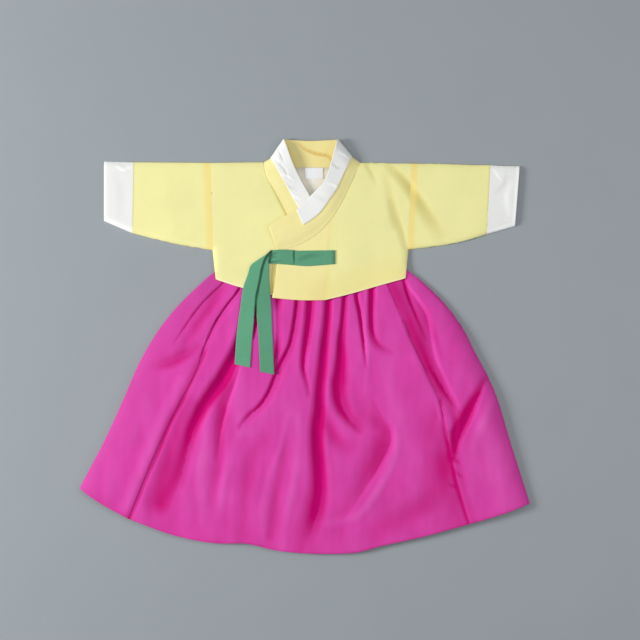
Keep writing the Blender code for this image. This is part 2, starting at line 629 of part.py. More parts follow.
def ribbon():
    band = lay(panel(BAND_LOW, BAND_TOP), over(outer_height, JACKET_SEAM + SEAM_GAP))
    knot = patch(
        curve(*KNOT_LOW), curve(*KNOT_TOP), straight(KNOT_LOW[0], KNOT_TOP[0]),
        straight(KNOT_LOW[-1], KNOT_TOP[-1]),
    )
    front = patch(
        straight(*FRONT_TAIL_END), straight(*FRONT_TAIL_TOP),
        curve(FRONT_TAIL_END[0], (-80, 18), (-83, 81), (-78, 118), (-71, 146), FRONT_TAIL_TOP[0]),
        curve(FRONT_TAIL_END[1], (-56, 18), (-59, 81), (-63, 118), (-62, 146), FRONT_TAIL_TOP[1]),
    )
    back = patch(
        straight(*BACK_TAIL_END), straight(*BACK_TAIL_TOP),
        curve(BACK_TAIL_END[0], (-118, 18), (-111, 81), (-105, 118), (-95, 139), BACK_TAIL_TOP[0]),
        curve(BACK_TAIL_END[1], (-91, 18), (-84, 81), (-78, 112), (-74, 140), BACK_TAIL_TOP[1]),
    )
    wall("goreum_band", band, (6, 5), TRIM_CLOTH, GREEN)
    wall("goreum_knot", lay(knot, knot_height), (5, 2), TRIM_CLOTH, GREEN)
    wall("goreum_tail_front", lay(front, front_tail_height), (2, 14), TRIM_CLOTH, GREEN)
    wall("goreum_tail_back", lay(back, tail_height), (2, 14), TRIM_CLOTH, GREEN)


def clear_scene():
    for obj in list(bpy.data.objects):
        bpy.data.objects.remove(obj, do_unlink=True)


def main():
    clear_scene()
    garment = bpy.data.collections.new(COLLECTION)
    bpy.context.scene.collection.children.link(garment)
    skirt_back()
    skirt_front()
    waistband()
    jacket_back()
    inner_front()
    outer_front()
    sleeves()
    collar()
    neck_inside()
    ribbon()


main()
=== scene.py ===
"""Child's hanbok laid flat, dressed on its fixed frame: jacket, pleated skirt and ribbon tie.

Sizes and places are in millimetres and become metres when a mesh is filled. +Y points to the neck
and +Z up from the surface. Left and right are the viewer's, looking down on the front.
"""

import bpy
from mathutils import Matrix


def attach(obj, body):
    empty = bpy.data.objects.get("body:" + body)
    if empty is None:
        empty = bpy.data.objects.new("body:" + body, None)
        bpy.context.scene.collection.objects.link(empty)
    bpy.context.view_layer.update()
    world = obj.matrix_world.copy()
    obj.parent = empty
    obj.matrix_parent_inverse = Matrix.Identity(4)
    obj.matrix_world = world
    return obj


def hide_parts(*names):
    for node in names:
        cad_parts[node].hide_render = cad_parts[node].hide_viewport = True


bl_info = {
    "name": "Child's hanbok laid flat",
    "version": (1, 0, 0),
    "blender": (4, 5, 0),
    "location": "3D View > Sidebar > Hanbok",
    "description": "Lays out the cloth pieces of a child's jacket and pleated skirt",
    "category": "Add Mesh",
}

import math
from collections import namedtuple

import bpy
import numpy as np
from mathutils import Vector, noise

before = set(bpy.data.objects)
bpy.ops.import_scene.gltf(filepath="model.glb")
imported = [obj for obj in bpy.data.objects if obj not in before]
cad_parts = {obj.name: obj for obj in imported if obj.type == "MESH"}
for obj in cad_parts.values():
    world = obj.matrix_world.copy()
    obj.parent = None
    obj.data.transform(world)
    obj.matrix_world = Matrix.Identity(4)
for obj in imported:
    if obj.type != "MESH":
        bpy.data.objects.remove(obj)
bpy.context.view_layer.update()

MM = 0.001

# Walls and gaps of the frame
LINED_CLOTH, SKIRT_CLOTH, TRIM_CLOTH = 1.5, 1.2, 1.0
WAISTBAND_CLOTH = 2 * SKIRT_CLOTH
SEAM_GAP, SKIRT_GAP = 0.3, 0.5
JACKET_SEAM = LINED_CLOTH + SEAM_GAP

# Corners of the jacket
NECK_LEFT, NECK_RIGHT = (-71, 321), (97, 320)
ARM_TOP_LEFT, ARM_TOP_RIGHT = (-165, 320), (186, 319)
UNDERARM_LEFT, UNDERARM_RIGHT = (-160, 170), (180, 171)
HEM_LEFT, HEM_RIGHT = (-154, 117), (175, 119)
CUFF_TOP_LEFT, CUFF_TOP_RIGHT = (-299, 321), (324, 317)
CUFF_LOW_LEFT, CUFF_LOW_RIGHT = (-301, 200), (318, 198)
HAND_TOP_LEFT, HAND_TOP_RIGHT = (-350, 322), (375, 314)
HAND_LOW_LEFT, HAND_LOW_RIGHT = (-350, 221), (367, 212)
BACK_CENTRE_X = 10
BACK_NECK_Y, BACK_HEM_Y = 312, 117

# Corners of the fronts and the collar band, and points on the way between them
NECK_UNDER_LEFT = (-72, 321)
SEOP_TOP, SEOP_HEM = (44, 226), (35, 81)
EDGE_UNDER = (-46, 175)
EDGE_TOP, EDGE_HEM = (-47, 165), (-56, 85)
BAND_TIP = (-62, 210)
COLLAR_LEFT, COLLAR_RIGHT = (-35, 361), (56, 361)
WHITE_TIP = (-16, 237)
LEFT_ARM_LOW, LEFT_ARM_HIGH = (-22, 216), (18, 248)
BACK_STRIP_LOW, BACK_STRIP_TOP = ((-46, 334), (68, 334)), ((-33, 357), (54, 357))
INNER_HEM = (52, 91)
HEM_LEFT_WAY, HEM_RIGHT_WAY = ((-117, 105), (-57, 90)), ((76, 91), (132, 107))
SEOP_MIDDLE, EDGE_MIDDLE = (38, 137), (-48, 143)
ARM_MIDDLE_RIGHT = (244, 318)
NECK_BACK = (-35, 313), (56, 313)
UNDER_INSET = 1.4  # how far a sleeve's under layer stops inside its upper one

# Inside the neck
LINING_LOW, LINING_TOP = ((-32, 254), (50, 254)), ((-44, 313), (66, 313))
LABEL_LOW, LABEL_TOP = ((1, 293), (32, 293)), ((1, 312), (32, 312))

# Corners of the skirt
WAIST_LEFT, WAIST_RIGHT, WAIST_Y = -128, 148, 154
BAND_HEIGHT = 45
SEAM_TOP_LEFT, SEAM_TOP_RIGHT = (-103, WAIST_Y), (124, WAIST_Y)
SEAM_HEM_LEFT, SEAM_HEM_RIGHT = (-306, -300), (287, -309)
SKIRT_HEM_LEFT, SKIRT_HEM_RIGHT = (-392, -248), (392, -274)
HEM_MID_LEFT, HEM_MID_RIGHT = (-348, -277), (340, -293)
HEM_MIDDLE = (
    (-222, -330), (-159, -342), (-96, -344), (-54, -354), (30, -361), (93, -358), (135, -347),
    (198, -333),
)
BACK_INSET = 3  # how far the skirt's back stops inside its front

# Corners of the ribbon tie
BAND_LOW, BAND_TOP = ((-18, 142), (53, 144)), ((-18, 167), (53, 168))
KNOT_LOW, KNOT_TOP = ((-63.5, 145), (-40, 144), (-18, 142)), ((-61, 167), (-44, 169), (-18, 168))
FRONT_TAIL_END, BACK_TAIL_END = ((-77, -43), (-53, -48)), ((-121, -30), (-95, -36))

# Heights of the undersides over the surface, by Y
JACKET_LEVELS = {
    330: 5.0, 170: 5.0, 150: 5.3, 140: 5.9, 120: 8.4, 100: 11.1, 85: 12.8, 78: 13.3,
}
SIDE_LEVELS = {330: JACKET_SEAM, 166: JACKET_SEAM, 150: 2.6, 142: 4.0, 128: 6.6, 116: 8.2}
SKIRT_LEVELS = {
    156: 3.3, 140: 4.2, 120: 6.6, 100: 9.4, 85: 11.1, 20: 15.0, -100: 17.0, -250: 14.0, -361: 9.0,
}
TAIL_LEVELS = {
    170: 9.4, 140: 9.8, 120: 10.8, 100: 13.4, 88: 14.6, 60: 14.8, 20: 16.8, -50: 18.2,
}
SIDE_LEVEL_Y = UNDERARM_LEFT[1] + 4  # above this the sides lie level
EDGE_ROLL, SKIRT_ROLL = 12, 36  # how far in from its edge the cloth rounds over
# What rises, and the Y or X from which and to which it does
BACK_RISE_Y = 50, 86
OVERLAP_LIFT, OVERLAP_X = JACKET_SEAM, (130, 66)
FRONT_TAIL_LIFT, FRONT_TAIL_Y = 1.5, (60, 100)
KNOT_X, KNOT_HEIGHTS, KNOT_FOLD_SHARE = (-63, -44, -18), (9.2, 10.9, 9.8), 0.8
# The collar's arms: how high the neck edge stands, how far the right one rides over the left where
# they cross, how far the outer seam is pressed down, and over which shares of length or width
COLLAR_BACK_TOP = 4.0
COLLAR_STAND, STAND_ALONG = 6.0, (0.35, 0.8)
CROSSING_LIFT, CROSSING_ALONG, CROSSING_WIDTH = 1.7, (0.75, 0.55), 0.6
PRESSED_LEFT, PRESSED_RIGHT, PRESSED_SHARE = 0.6, 1.45, (0.3, 0.02)
COLLAR_ROLL = 0.12  # the share of its length over which an arm folds down at its top
WHITE_START = 5 / 18  # the share of the right arm's length that its white strip leaves bare

# Folds: a path down the fold, its half widths and its depths from start to end (a ridge is below
# zero), how far its left side is narrower than its right, how crisp its sides are, from 0 (a soft
# hollow) to 1 (flat facets that meet in an edge), and how much painted shade it adds to the colour
Fold = namedtuple("Fold", "name path half depth lean crisp tint", defaults=(0, 0, 1))
SKIRT_FOLDS = (
    Fold("left pleat", ((-133, 130), (-140, 113), (-162, 91), (-185, 66), (-203, 41), (-225, 8)),
        (8, 6), (2.8, 3, 0.5), -0.45, 0.9, 2),
    Fold("left pleat hollow", ((-146, 98), (-166, 66), (-186, 38), (-202, 12), (-214, -8)),
        (15, 15), (1.4, 2.2, 1.8, 0.8), 0, 0, 0.8),
    Fold("left seam pleat", ((-106, 130), (-112, 102), (-131, 76), (-148, 52), (-161, 27),
        (-170, 7), (-180, -18)), (8, 6), (2.8, 3, 0.8), -0.45, 0.9, 2),
    Fold("left hollow", ((-262, -33), (-239, -29), (-222, -22), (-204, -12), (-187, 2)),
        (16, 18, 14), (0.5, 1.8, 2.6, 2, 0.8), 0, 0.2, 1),
    Fold("under ribbons", ((-98, 130), (-101, 81), (-104, 40), (-111, 10), (-121, -17),
        (-143, -59), (-159, -82), (-172, -102), (-183, -124), (-193, -146), (-206, -190),
        (-217, -234), (-234, -275)), (9, 10, 13, 17, 18, 17, 18, 20, 24),
        (3, 4, 6, 8.5, 8, 6.5, 4, 3, 0.8), 0.15, 0.3, 0.8),
    Fold("under ribbons shelf", ((-110, -25), (-120, -59), (-132, -94), (-138, -115), (-146, -150),
        (-150, -185)), (10, 18, 20, 16, 12), (1, 3, 3.4, 2.4, 0.8), 0.7, 0.6, 0.7),
    Fold("between ribbons", ((-84, 125), (-86, 81), (-88, 40), (-92, 18)), (10, 9), (8, 10, 3)),
    Fold("beside ribbons", ((-48, 125), (-47, 84), (-46, 60), (-46, 14), (-49, -14), (-55, -40)),
        (13, 12, 8, 8, 9, 8), (6, 5.5, 1.5, 1.5, 4, 2.5), -0.2, 0.3),
    Fold("curling left", ((-12, 130), (-12, 80), (-15, 52), (-20, 20), (-25, 0), (-34, -18),
        (-44, -37), (-52, -58), (-62, -82), (-77, -104), (-96, -120), (-110, -138)), (9, 10, 11),
        (4.6, 4.8, 4, 4, 3.6, 1.4), -0.2, 0.6, 1.3),
    Fold("short middle", ((14, 130), (13, 78), (10, 40), (5, 8), (1, -18), (0, -38), (5, -62),
        (9, -82)), (13, 12, 10, 7), (5, 5.2, 4.8, 4, 0.8), 0.25, 0.5, 1.1),
    Fold("main", ((43, 130), (43, 78), (41, 40), (38, 13), (34, -32), (30, -76), (29, -105),
        (25, -140), (25, -164), (27, -190), (29, -216), (30, -250), (26, -281), (15, -312),
        (2, -345)), (10, 11, 13, 15, 18, 21, 26, 28), (5, 6, 6.5, 6.5, 6.5, 6.5, 5, 1.2), 0.25,
        0.3, 0.85),
    Fold("main shelf", ((34, -112), (44, -140), (56, -162), (74, -176)), (16, 24),
        (1.2, 2.8, 3, 1.4), 0, 0, 0.8),
    Fold("between curls", ((83, -60), (93, -100), (102, -130)), (20, 22), (0.7, 1.1, 0.6), 0, 0,
        0.8),
    Fold("curling right", ((70, 130), (70, 86), (67, 40), (64, 12), (64, -20), (62, -48),
        (60, -70), (62, -92), (70, -114), (82, -130), (96, -144)), (8, 8, 10, 14, 20, 20, 13),
        (4.4, 5, 5, 5.6, 6, 4.6, 1.4), -0.05, 0.35, 1),
    Fold("thin pleat", ((90, 130), (93, 85), (98, 60), (101, 35), (104, 7), (108, -34)),
        (7, 7, 6, 5), (3.6, 4, 4, 3, 0.6), 0.25, 0.8, 1.3),
    Fold("thin pleat ridge", ((108, 100), (109, 40), (110, -20), (106, -80)), (7, 9),
        (-0.6, -0.8, -0.3)),
    Fold("tucked pleat", ((118, 130), (120, 94), (119, 66), (119, 45), (120, 29), (124, 14),
        (132, 4), (147, -4)), (9, 11), (5.4, 5.4, 3.6, 0.8), 0.4, 0.5, 1.2),
    Fold("right pleat", ((165, 130), (176, 109), (195, 82), (212, 55), (218, 24), (222, 0),
        (232, -34), (242, -56), (253, -78), (270, -111)), (10, 18, 27, 22, 18, 17, 8),
        (3, 4.8, 5.4, 5.4, 5.2, 4.6, 1), 0.72, 0.85, 0.24),
    Fold("right pleat inner", ((172, 125), (179, 95), (190, 66), (201, 40), (212, 14)), (6, 6),
        (3, 3, 2, 1.4, 0.5), 0, 0.4, 1.2),
    Fold("right pleat edge", ((234, -90), (222, -70), (212, -49), (203, -28), (196, -13),
        (184, 12), (174, 35), (165, 58), (155, 82), (147, 101), (140, 125)), (9, 13, 15, 15, 11),
        (0.7, 1.4, 1.5, 1.5, 1.1), 0.85, 0.7, 1.5),
    Fold("right pleat hollow", ((214, 60), (226, 20), (238, -20)), (11, 11), (0.6, 1.2, 0.5)),
    Fold("right diagonal", ((322, -52), (312, -66), (306, -80), (296, -102), (287, -122),
        (276, -145), (268, -165), (262, -190)), (10, 12, 16, 15, 12), (1, 4, 6.5, 6, 2), 0.5, 0.5,
        0.95),
    Fold("right diagonal ridge", ((328, -92), (316, -120), (300, -150), (292, -190)), (14, 16),
        (-0.5, -1.2, -0.3)),
    Fold("right curl", ((140, -128), (150, -150), (149, -168), (138, -193), (123, -220),
        (106, -245), (90, -270), (78, -288)), (34, 28, 20, 14), (1.4, 3.8, 3.8, 2, 0.8), 0.68, 0.5,
        0.6),
    Fold("right curl ridge", ((158, -140), (160, -176), (144, -220), (124, -256), (92, -294),
        (45, -308)), (12, 14), (-0.5, -1.6, -0.6)),
    Fold("right curl head", ((112, -120), (128, -132), (142, -146)), (16, 16), (0.4, 0.9, 0.7)),
    Fold("right dart", ((220, -36), (234, -60), (250, -86), (267, -112)), (7, 8), (0.6, 2, 2, 0.4),
        0, 0.5, 1.1),
    Fold("right tuck", ((250, -100), (261, -124), (261, -150)), (10, 9), (0.6, 2, 1.4)),
    Fold("left broad valley", ((-200, -100), (-222, -150), (-238, -205), (-254, -270)), (26, 34),
        (1, 2.2, 2.7, 2.4)),
    Fold("left panel ridge", ((-215, -60), (-240, -110), (-262, -160), (-285, -220), (-312, -280)),
        (16, 18), (-0.5, -1, -0.8)),
    Fold("left panel swell", ((-253, -50), (-288, -129), (-327, -207), (-337, -251)), (28, 30),
        (-0.4, -0.4, -0.3, -0.5)),
    Fold("first ridge", ((-157, -112), (-168, -146), (-176, -190), (-181, -234), (-178, -275),
        (-172, -320)), (12, 18), (-0.4, -1.1, -0.5)),
    Fold("first valley", ((-138, -110), (-145, -150), (-148, -190), (-153, -234), (-162, -272)),
        (15, 16), (0.8, 2, 1.6, 0.3), 0, 0, 0.8),
    Fold("second ridge", ((-108, -140), (-123, -172), (-130, -202), (-140, -230), (-146, -268),
        (-154, -330)), (12, 16), (-0.3, -1, -0.4)),
    Fold("second valley", ((-70, -160), (-90, -190), (-100, -240), (-108, -330)), (20, 24),
        (1, 1.5, 0.6), 0, 0, 0.8),
    Fold("third ridge", ((-30, -120), (-40, -170), (-60, -224), (-70, -268), (-74, -336)), (9, 12),
        (-0.4, -0.9, -0.6)),
    Fold("third valley", ((-30, -160), (-40, -218), (-52, -280), (-58, -330)), (12, 14),
        (0.5, 1.6, 1.2), 0, 0, 0.8),
    Fold("fourth ridge", ((-8, -120), (-14, -202), (-20, -249), (-35, -310), (-39, -352)),
        (11, 14), (-0.4, -1, -0.8)),
    Fold("left swell", ((-108, -50), (-114, -102), (-103, -146)), (22, 24), (-0.5, -1, -0.8)),
    Fold("centre swell", ((-29, -67), (-22, -111), (-15, -164)), (26, 20), (-0.4, -0.8, -0.4)),
    Fold("right swell", ((142, 29), (146, -76), (160, -120)), (22, 26), (-0.2, -0.7, -0.6)),
    Fold("right panel swell", ((314, -137), (328, -181), (342, -234), (350, -269)), (24, 30),
        (-0.5, -0.9, -0.8, -0.4)),
    Fold("hem right valley", ((120, -322), (170, -300), (220, -262), (232, -200)), (30, 36),
        (0.8, 1.6, 1)),
    Fold("left seam", ((-171, -12), (-197, -66), (-211, -96), (-229, -128), (-250, -178),
        (-272, -227), (-291, -274), (-303, -300)), (9, 9), (1.2, 1.9, 1.5), 0.6, 0.3, 1.3),
    Fold("right seam valley", ((236, -130), (244, -160), (252, -200), (262, -240), (280, -300)),
        (28, 26), (1.5, 3.2, 1.5), 0.8, 0.2, 0.7),
    Fold("right seam", ((238, -95), (246, -150), (256, -191), (264, -232), (276, -272),
        (287, -309)), (5, 5), (1, 1.5, 1.3), 0.5, 0.5, 1.9),
    Fold("right seam lee", ((256, -150), (265, -191), (273, -232), (283, -272), (293, -302)),
        (13, 13), (1, 1.5, 1.3, 0.8)),
    Fold("first pucker", ((259, -194), (266, -200), (272, -205)), (4, 4), (1, 2, 0.3)),
    Fold("second pucker", ((262, -214), (270, -224), (279, -229)), (4, 4), (1, 2, 0.3)),
    Fold("third pucker", ((250, -238), (257, -242), (264, -246)), (4, 4), (0.3, 1.6, 1)),
)
JACKET_FOLDS = (
    Fold("right sleeve", ((148, 316), (176, 288), (197, 260), (220, 225), (238, 196)), (13, 20),
        (0.6, 1.7, 1.3, 0.4), 0.2),
    Fold("right underarm", ((154, 250), (162, 223), (170, 200), (176, 176)), (13, 10),
        (0.4, 1.1, 0.8), 0.2),
    Fold("right body", ((142, 300), (150, 260), (156, 210)), (13, 11), (0.2, 0.6, 0.3)),
    Fold("right shoulder", ((108, 318), (118, 300), (124, 285)), (7, 7), (0.6, 0.7, 0.2)),
)
# Painted only, the collar's back has no such crease in its shape
COLLAR_FOLDS = (
    Fold("collar back", ((-14, 358), (0, 346), (18, 338), (44, 331), (50, 322)), (5, 5),
        (0.3, 1, 0.6), 0, 0.4, 1.4),
)
# The white strips are shaped by these, and their colour gets painted shade in the hollows and
# painted highlight on the ridges
WHITE_FOLDS = (
    Fold("left first", ((-54, 340), (-47, 330), (-40, 316)), (4, 4), (0.4, -0.9, 0.3), 0, 0.5),
    Fold("left second", ((-46, 344), (-40, 332), (-36, 322)), (3, 3), (0.6, 0.9, 0.3), 0, 0.5),
    Fold("left third", ((-44, 318), (-34, 308), (-30, 296)), (4, 4), (0.6, 0.9, 0.4), 0, 0.5),
    Fold("left fourth", ((-40, 300), (-30, 298), (-20, 292)), (4, 4), (-0.5, -0.9, -0.3), 0, 0.4),
    Fold("left fifth", ((-33, 286), (-24, 278), (-14, 276)), (5, 5), (0.3, 0.6, 0.3)),
    Fold("left sixth", ((-26, 268), (-16, 262), (-8, 258)), (5, 5), (-0.3, -0.6, -0.3)),
    Fold("right first", ((60, 340), (70, 334), (78, 328)), (5, 4), (-0.3, -0.8, -0.3), 0, 0.4),
    Fold("right second", ((50, 318), (58, 312), (68, 312)), (5, 5), (0.4, 0.8, 0.3)),
    Fold("right third", ((42, 284), (54, 280), (62, 272)), (5, 5), (-0.3, -0.7, -0.3)),
    Fold("right fourth", ((20, 262), (34, 256), (44, 252)), (7, 7), (0.2, 0.5, 0.2)),
)
# Painted only, the cuffs' shape has none of these: glints and ridge are painted highlights,
# wrinkles and hollow painted shade
CUFF_FOLDS = (
    Fold("left glint", ((-330, 316), (-318, 308), (-306, 312)), (4, 4), (-0.5, -1, -0.5)),
    Fold("left wrinkle", ((-336, 318), (-318, 316), (-308, 306)), (5, 4), (0.3, 0.8, 0.3)),
    Fold("left hollow", ((-330, 300), (-322, 262), (-326, 232)), (12, 12), (0.3, 0.6, 0.3)),
    Fold("right glint", ((330, 308), (338, 296), (344, 288)), (5, 4), (-0.6, -1, -0.4)),
    Fold("right wrinkle", ((352, 306), (346, 282), (332, 268)), (6, 7), (0.4, 0.9, 0.4)),
    Fold("right ridge", ((362, 290), (352, 262), (356, 232)), (8, 9), (-0.3, -0.7, -0.4)),
)
# Only the knot is shaped by these; everywhere they also give painted shade
RIBBON_FOLDS = (
    Fold("gather top", ((-62, 158), (-52, 163), (-45, 165)), (4, 3), (0.5, 0.35, 0.1), 0, 0.3),
    Fold("gather middle", ((-62, 151), (-54, 157), (-47, 156)), (4, 3), (0.5, 0.4, 0.1), 0, 0.3),
    Fold("gather low", ((-62, 147), (-52, 148), (-42, 150)), (3, 4), (0.5, 0.35, 0.1)),
    Fold("tuck", ((-19, 168), (-19, 158), (-18, 150), (-19, 144)), (1.8, 1.8), (0.4, 1, 0.3)),
    Fold("band crease", ((-8, 152), (8, 158), (30, 160)), (7, 8), (0.15, 0.2, 0.05)),
    Fold("band end", ((50, 146), (51, 156), (50, 166)), (5, 5), (0.2, 0.25, 0.2)),
)
PARTING = (-57, 168), (-67, 156), (-72.5, 142), (-78, 115), (-84, 84), (-86, 50)

# Fine unevenness: its height, how far apart it is, its seed and how it is stretched
Ripple = namedtuple("Ripple", "height size seed across along", defaults=(1, 1))
JACKET_RIPPLES = Ripple(0.55, 55, 3.1), Ripple(0.22, 22, 8.4)
SKIRT_RIPPLES = Ripple(0.6, 46, 1.7, 0.6, 1.6), Ripple(0.3, 20, 5.2, 0.6, 1.8)

# Painted tones run from 0 (painted highlight, raised) to 1 (painted shade, deep in a fold). A pair
# gives where a change starts and ends, in millimetres from an edge, or across (X) or along (Y) the
# garment.
LEVEL_TONE = 0.3
FOLD_SHARE = 0.82  # the share of its depth by which a skirt fold sinks; its painted shade shows all of it
LIT_LOSS, LIT_LEAST = 1.2, 0.1  # how much of a crisp fold's painted shade its lit side loses, and the least that is left
# How deep a fold is when its painted shade is full
SKIRT_DEPTH, JACKET_DEPTH, CUFF_DEPTH, COLLAR_DEPTH, WHITE_DEPTH = 5, 3.2, 3, 2, 2.5
COLLAR_SHADE_TONE, WHITE_HIGHLIGHT_TONE = 0.12, -0.05  # how far from level their painted tone starts: painted shade on the collar's back, painted highlight on the white strips
# The skirt gets painted shade along its edges, at its left side and at its hem, though less so at
# the right of its hem. Its left side also gets a duller painted shade where it rolls over.
EDGE_SHADE_TONE, EDGE_SHADE_RANGE = 0.12, (1, 5)
LEFT_SHADE_TONE, LEFT_SHADE = 0.06, (10, 80)
HEM_SHADE_TONE, HEM_Y = 0.06, (-240, -340)
HEM_LIT_SHARE, HEM_LIT_X = 0.8, (180, 300)
SIDE_SHADE_SHARE, SIDE_ROLL = 0.8, (4, 45)
# The jacket and cuffs get a painted highlight along their turned edges, and the jacket is warmer
# over its hem
EDGE_HIGHLIGHT, JACKET_EDGE, CUFF_EDGE = 0.3, (1, 4), (1, 8)
HEM_WARM, HEM_GLOW, HEM_GLOW_X = 0.3, (4, 60), (-60, 60)
OVERLAP_SHADE_Y, COLLAR_SHADE_Y = (150, 142), (300, 240)
# The lining gets painted shade at its top, and its centre back seam shows as a pale line
LINING_SHADE_TONE, LINING_TOP_Y, LINING_SEAM_X, LINING_SEAM = 0.5, (300, 318), 15.5, (0.8, 2.4)
# Painted shadow along the line where the ribbon's two tails part
PARTING_SHADOW_TONE, PARTING_LINE = 0.9, (1.4, 3)

# What shows on one side of a seam: its turnings under the cloth, a dark seam line, painted shadow
Turnings = namedtuple("Turnings", "strength width soft")
# A dark line beside joined seams; along the collar's left seam it is painted shade
SEAM_LINE = Turnings(0.5, 1.5, 1)
# Painted shadows of the overlap and of the collar's left arm on the jacket beside them
OVERLAP_SHADE = Turnings(0.55, 9, 5)
COLLAR_SHADE = Turnings(0.45, 6, 5)
ARMHOLE_TURNINGS = Turnings(0.75, 14, 7)
SEOP_TURNINGS = Turnings(0.3, 9, 6)

# What each piece was cut to: width and length in millimetres, and the share of that which is cloth
Cut = namedtuple("Cut", "width length share")


# Curves and patches

def shares(at):
    """How far along each point is, from 0 to 1."""
    run = np.concatenate([[0], np.cumsum(np.hypot(*np.diff(at, axis=0).T))])
    return run / run[-1]


def straight(*points):
    """A path with corners through the points, as a function of 0..1."""
    at = np.array(points, float)
    knots = shares(at)
    return lambda t: np.column_stack([np.interp(t, knots, at[:, k]) for k in (0, 1)])


def curve(*points):
    """A smooth path through the points, as a function of 0..1."""
    at = np.array(points, float)
    knots = shares(at)
    slopes = np.gradient(at, knots, axis=0)

    def place(t):
        i = np.clip(np.searchsorted(knots, t, "right") - 1, 0, len(knots) - 2)
        span = knots[i + 1] - knots[i]
        s, span = ((t - knots[i]) / span)[:, None], span[:, None]
        return (
            (1 + 2 * s) * (1 - s) ** 2 * at[i] + s * (1 - s) ** 2 * span * slopes[i]
            + s**2 * (3 - 2 * s) * at[i + 1] + s**2 * (s - 1) * span * slopes[i + 1]
        )

    return place


def patch(bottom, top, left, right, inset=0.03):
    """A flat patch between four edges, as a function of u across and v up, a little inside them."""

    def inside(t, size):
        margin = inset / size
        return margin + (1 - 2 * margin) * t

    def place(u, v):
        across = np.hypot(*(right(v) - left(v)).T)
        up = np.hypot(*(top(u) - bottom(u)).T)
        u, v = inside(u, np.maximum(across, 1)), inside(v, np.maximum(up, 1))
        low, high, near, far = bottom(u), top(u), left(v), right(v)
        first, last = np.zeros(1), np.ones(1)
        u, v = u[:, None], v[:, None]
        corners = (
            (1 - u) * (1 - v) * bottom(first) + u * (1 - v) * bottom(last)
            + (1 - u) * v * top(first) + u * v * top(last)
        )
        return (1 - v) * low + v * high + (1 - u) * near + u * far - corners

    return place


def panel(low, top):
    """A patch with straight edges between two lower and two upper corners."""
    return patch(
        straight(*low), straight(*top), straight(low[0], top[0]), straight(low[-1], top[-1])
    )


def even(t):
    return t


def both_ends(t):
    """Closer together at both ends, where an edge rounds over."""
    return 0.5 - 0.5 * np.cos(math.pi * t)


def at_start(t):
    return 1 - np.cos(0.5 * math.pi * t)


def at_end(t):
    return np.sin(0.5 * math.pi * t)


# Heights

def smooth(t):
    t = np.clip(t, 0, 1)
    return t * t * (3 - 2 * t)


def ramp(value, start, end):
    """0 before the start, 1 past the end, which may be the lower of the two."""
    return smooth((value - start) / (end - start))


def rounded(t):
    """0 at a folded edge, 1 where the cloth has rounded over."""
    t = np.clip(t, 0, 1)
    return np.sqrt(np.maximum(1 - (1 - t) ** 2, 0))


def level(levels, y):
    """The height at each Y, between those in the levels."""
    return np.interp(y, *zip(*sorted(levels.items())))


def nearest(xy, path, samples=13):
    """Each point's distance to the path, its side of it (1 is left, looking along) and how far
    along it is."""
    line = path(np.linspace(0, 1, samples))
    start, run = line[:-1], np.diff(line, axis=0)
    from_start = xy[:, None] - start
    t = np.clip((from_start * run).sum(2) / (run**2).sum(1), 0, 1)
    off = from_start - t[..., None] * run
    away = np.hypot(off[..., 0], off[..., 1])
    i, every = away.argmin(1), np.arange(len(xy))
    side = np.sign(run[i, 0] * off[every, i, 1] - run[i, 1] * off[every, i, 0])
    return away[every, i], side, (i + t[every, i]) / (samples - 1)


def relief(xy, folds):
    """How deep the folds are at each point, and the painted shade for them: a crisp fold is one
    tone on the side away from the light, and its left side (the viewer's right, as it runs down) is
    lit."""
    total, shaded = np.zeros(len(xy)), np.zeros(len(xy))
    for fold in folds:
        away, side, along = nearest(xy, curve(*fold.path), 25)
        half, depth = [
            np.interp(along, np.linspace(0, 1, len(values)), values)
            for values in (fold.half, fold.depth)
        ]
        half = half * (1 - fold.lean * side)
        across = np.clip(away / half, 0, 1)
        soft = np.cos(0.5 * math.pi * across) ** 2
        profile = soft + fold.crisp * (1 - across - soft)
        total += depth * profile
        lit_side = np.where(side > 0, max(1 - LIT_LOSS * fold.crisp, LIT_LEAST), 1)
        shaded += fold.tint * depth * lit_side * np.minimum((1 + fold.crisp) * profile, 1)
    return total, shaded


def ripples(xy, rows):
    """Slight unevenness of cloth: smooth uneven waves of each height and size."""
    return sum(
        row.height * np.array([
            noise.noise(Vector((x / (row.size * row.across), y / (row.size * row.along), row.seed)))
            for x, y in xy
        ])
        for row in rows
    )


def jacket_height(xy):
    """Underside of the jacket's upper layer, which rounds down to the back at the joined edges."""
    away = np.min([nearest(xy, edge, 9)[0] for edge in JOINED_EDGES], axis=0)
    low = np.where(xy[:, 1] > SIDE_LEVEL_Y, JACKET_SEAM, level(SIDE_LEVELS, xy[:, 1]))
    creased = level(JACKET_LEVELS, xy[:, 1]) - relief(xy, JACKET_FOLDS)[0]
    high = creased + ripples(xy, JACKET_RIPPLES)
    return low + (high - low) * rounded(away / EDGE_ROLL)


def outer_height(xy):
    """Underside of the outer front, which lies on the inner one."""
    return jacket_height(xy) + OVERLAP_LIFT * ramp(xy[:, 0], *OVERLAP_X)


def skirt_back_height(xy):
    """Underside of the skirt's back: flat on the surface, then up onto the jacket's back."""
    return JACKET_SEAM * ramp(xy[:, 1], *BACK_RISE_Y)


def skirt_height(xy):
    """Underside of the skirt's front, which rounds down to the back at its sides."""
    low = skirt_back_height(xy) + SKIRT_CLOTH + SKIRT_GAP
    away = np.min([nearest(xy, side, 25)[0] for side in (SKIRT_LEFT, SKIRT_RIGHT)], axis=0)
    sunk = FOLD_SHARE * relief(xy, SKIRT_FOLDS)[0]
    folded = level(SKIRT_LEVELS, xy[:, 1]) - sunk + ripples(xy, SKIRT_RIPPLES)
    high = np.maximum(folded, low)
    return low + (high - low) * rounded(away / SKIRT_ROLL)


def collar_back_height(xy):
    """Underside of the collar's back, which leans back from the neck seam."""
    return COLLAR_BACK_TOP * ramp(xy[:, 1], BACK_NECK_Y, COLLAR_LEFT[1])


# Edges that more than one piece or height uses

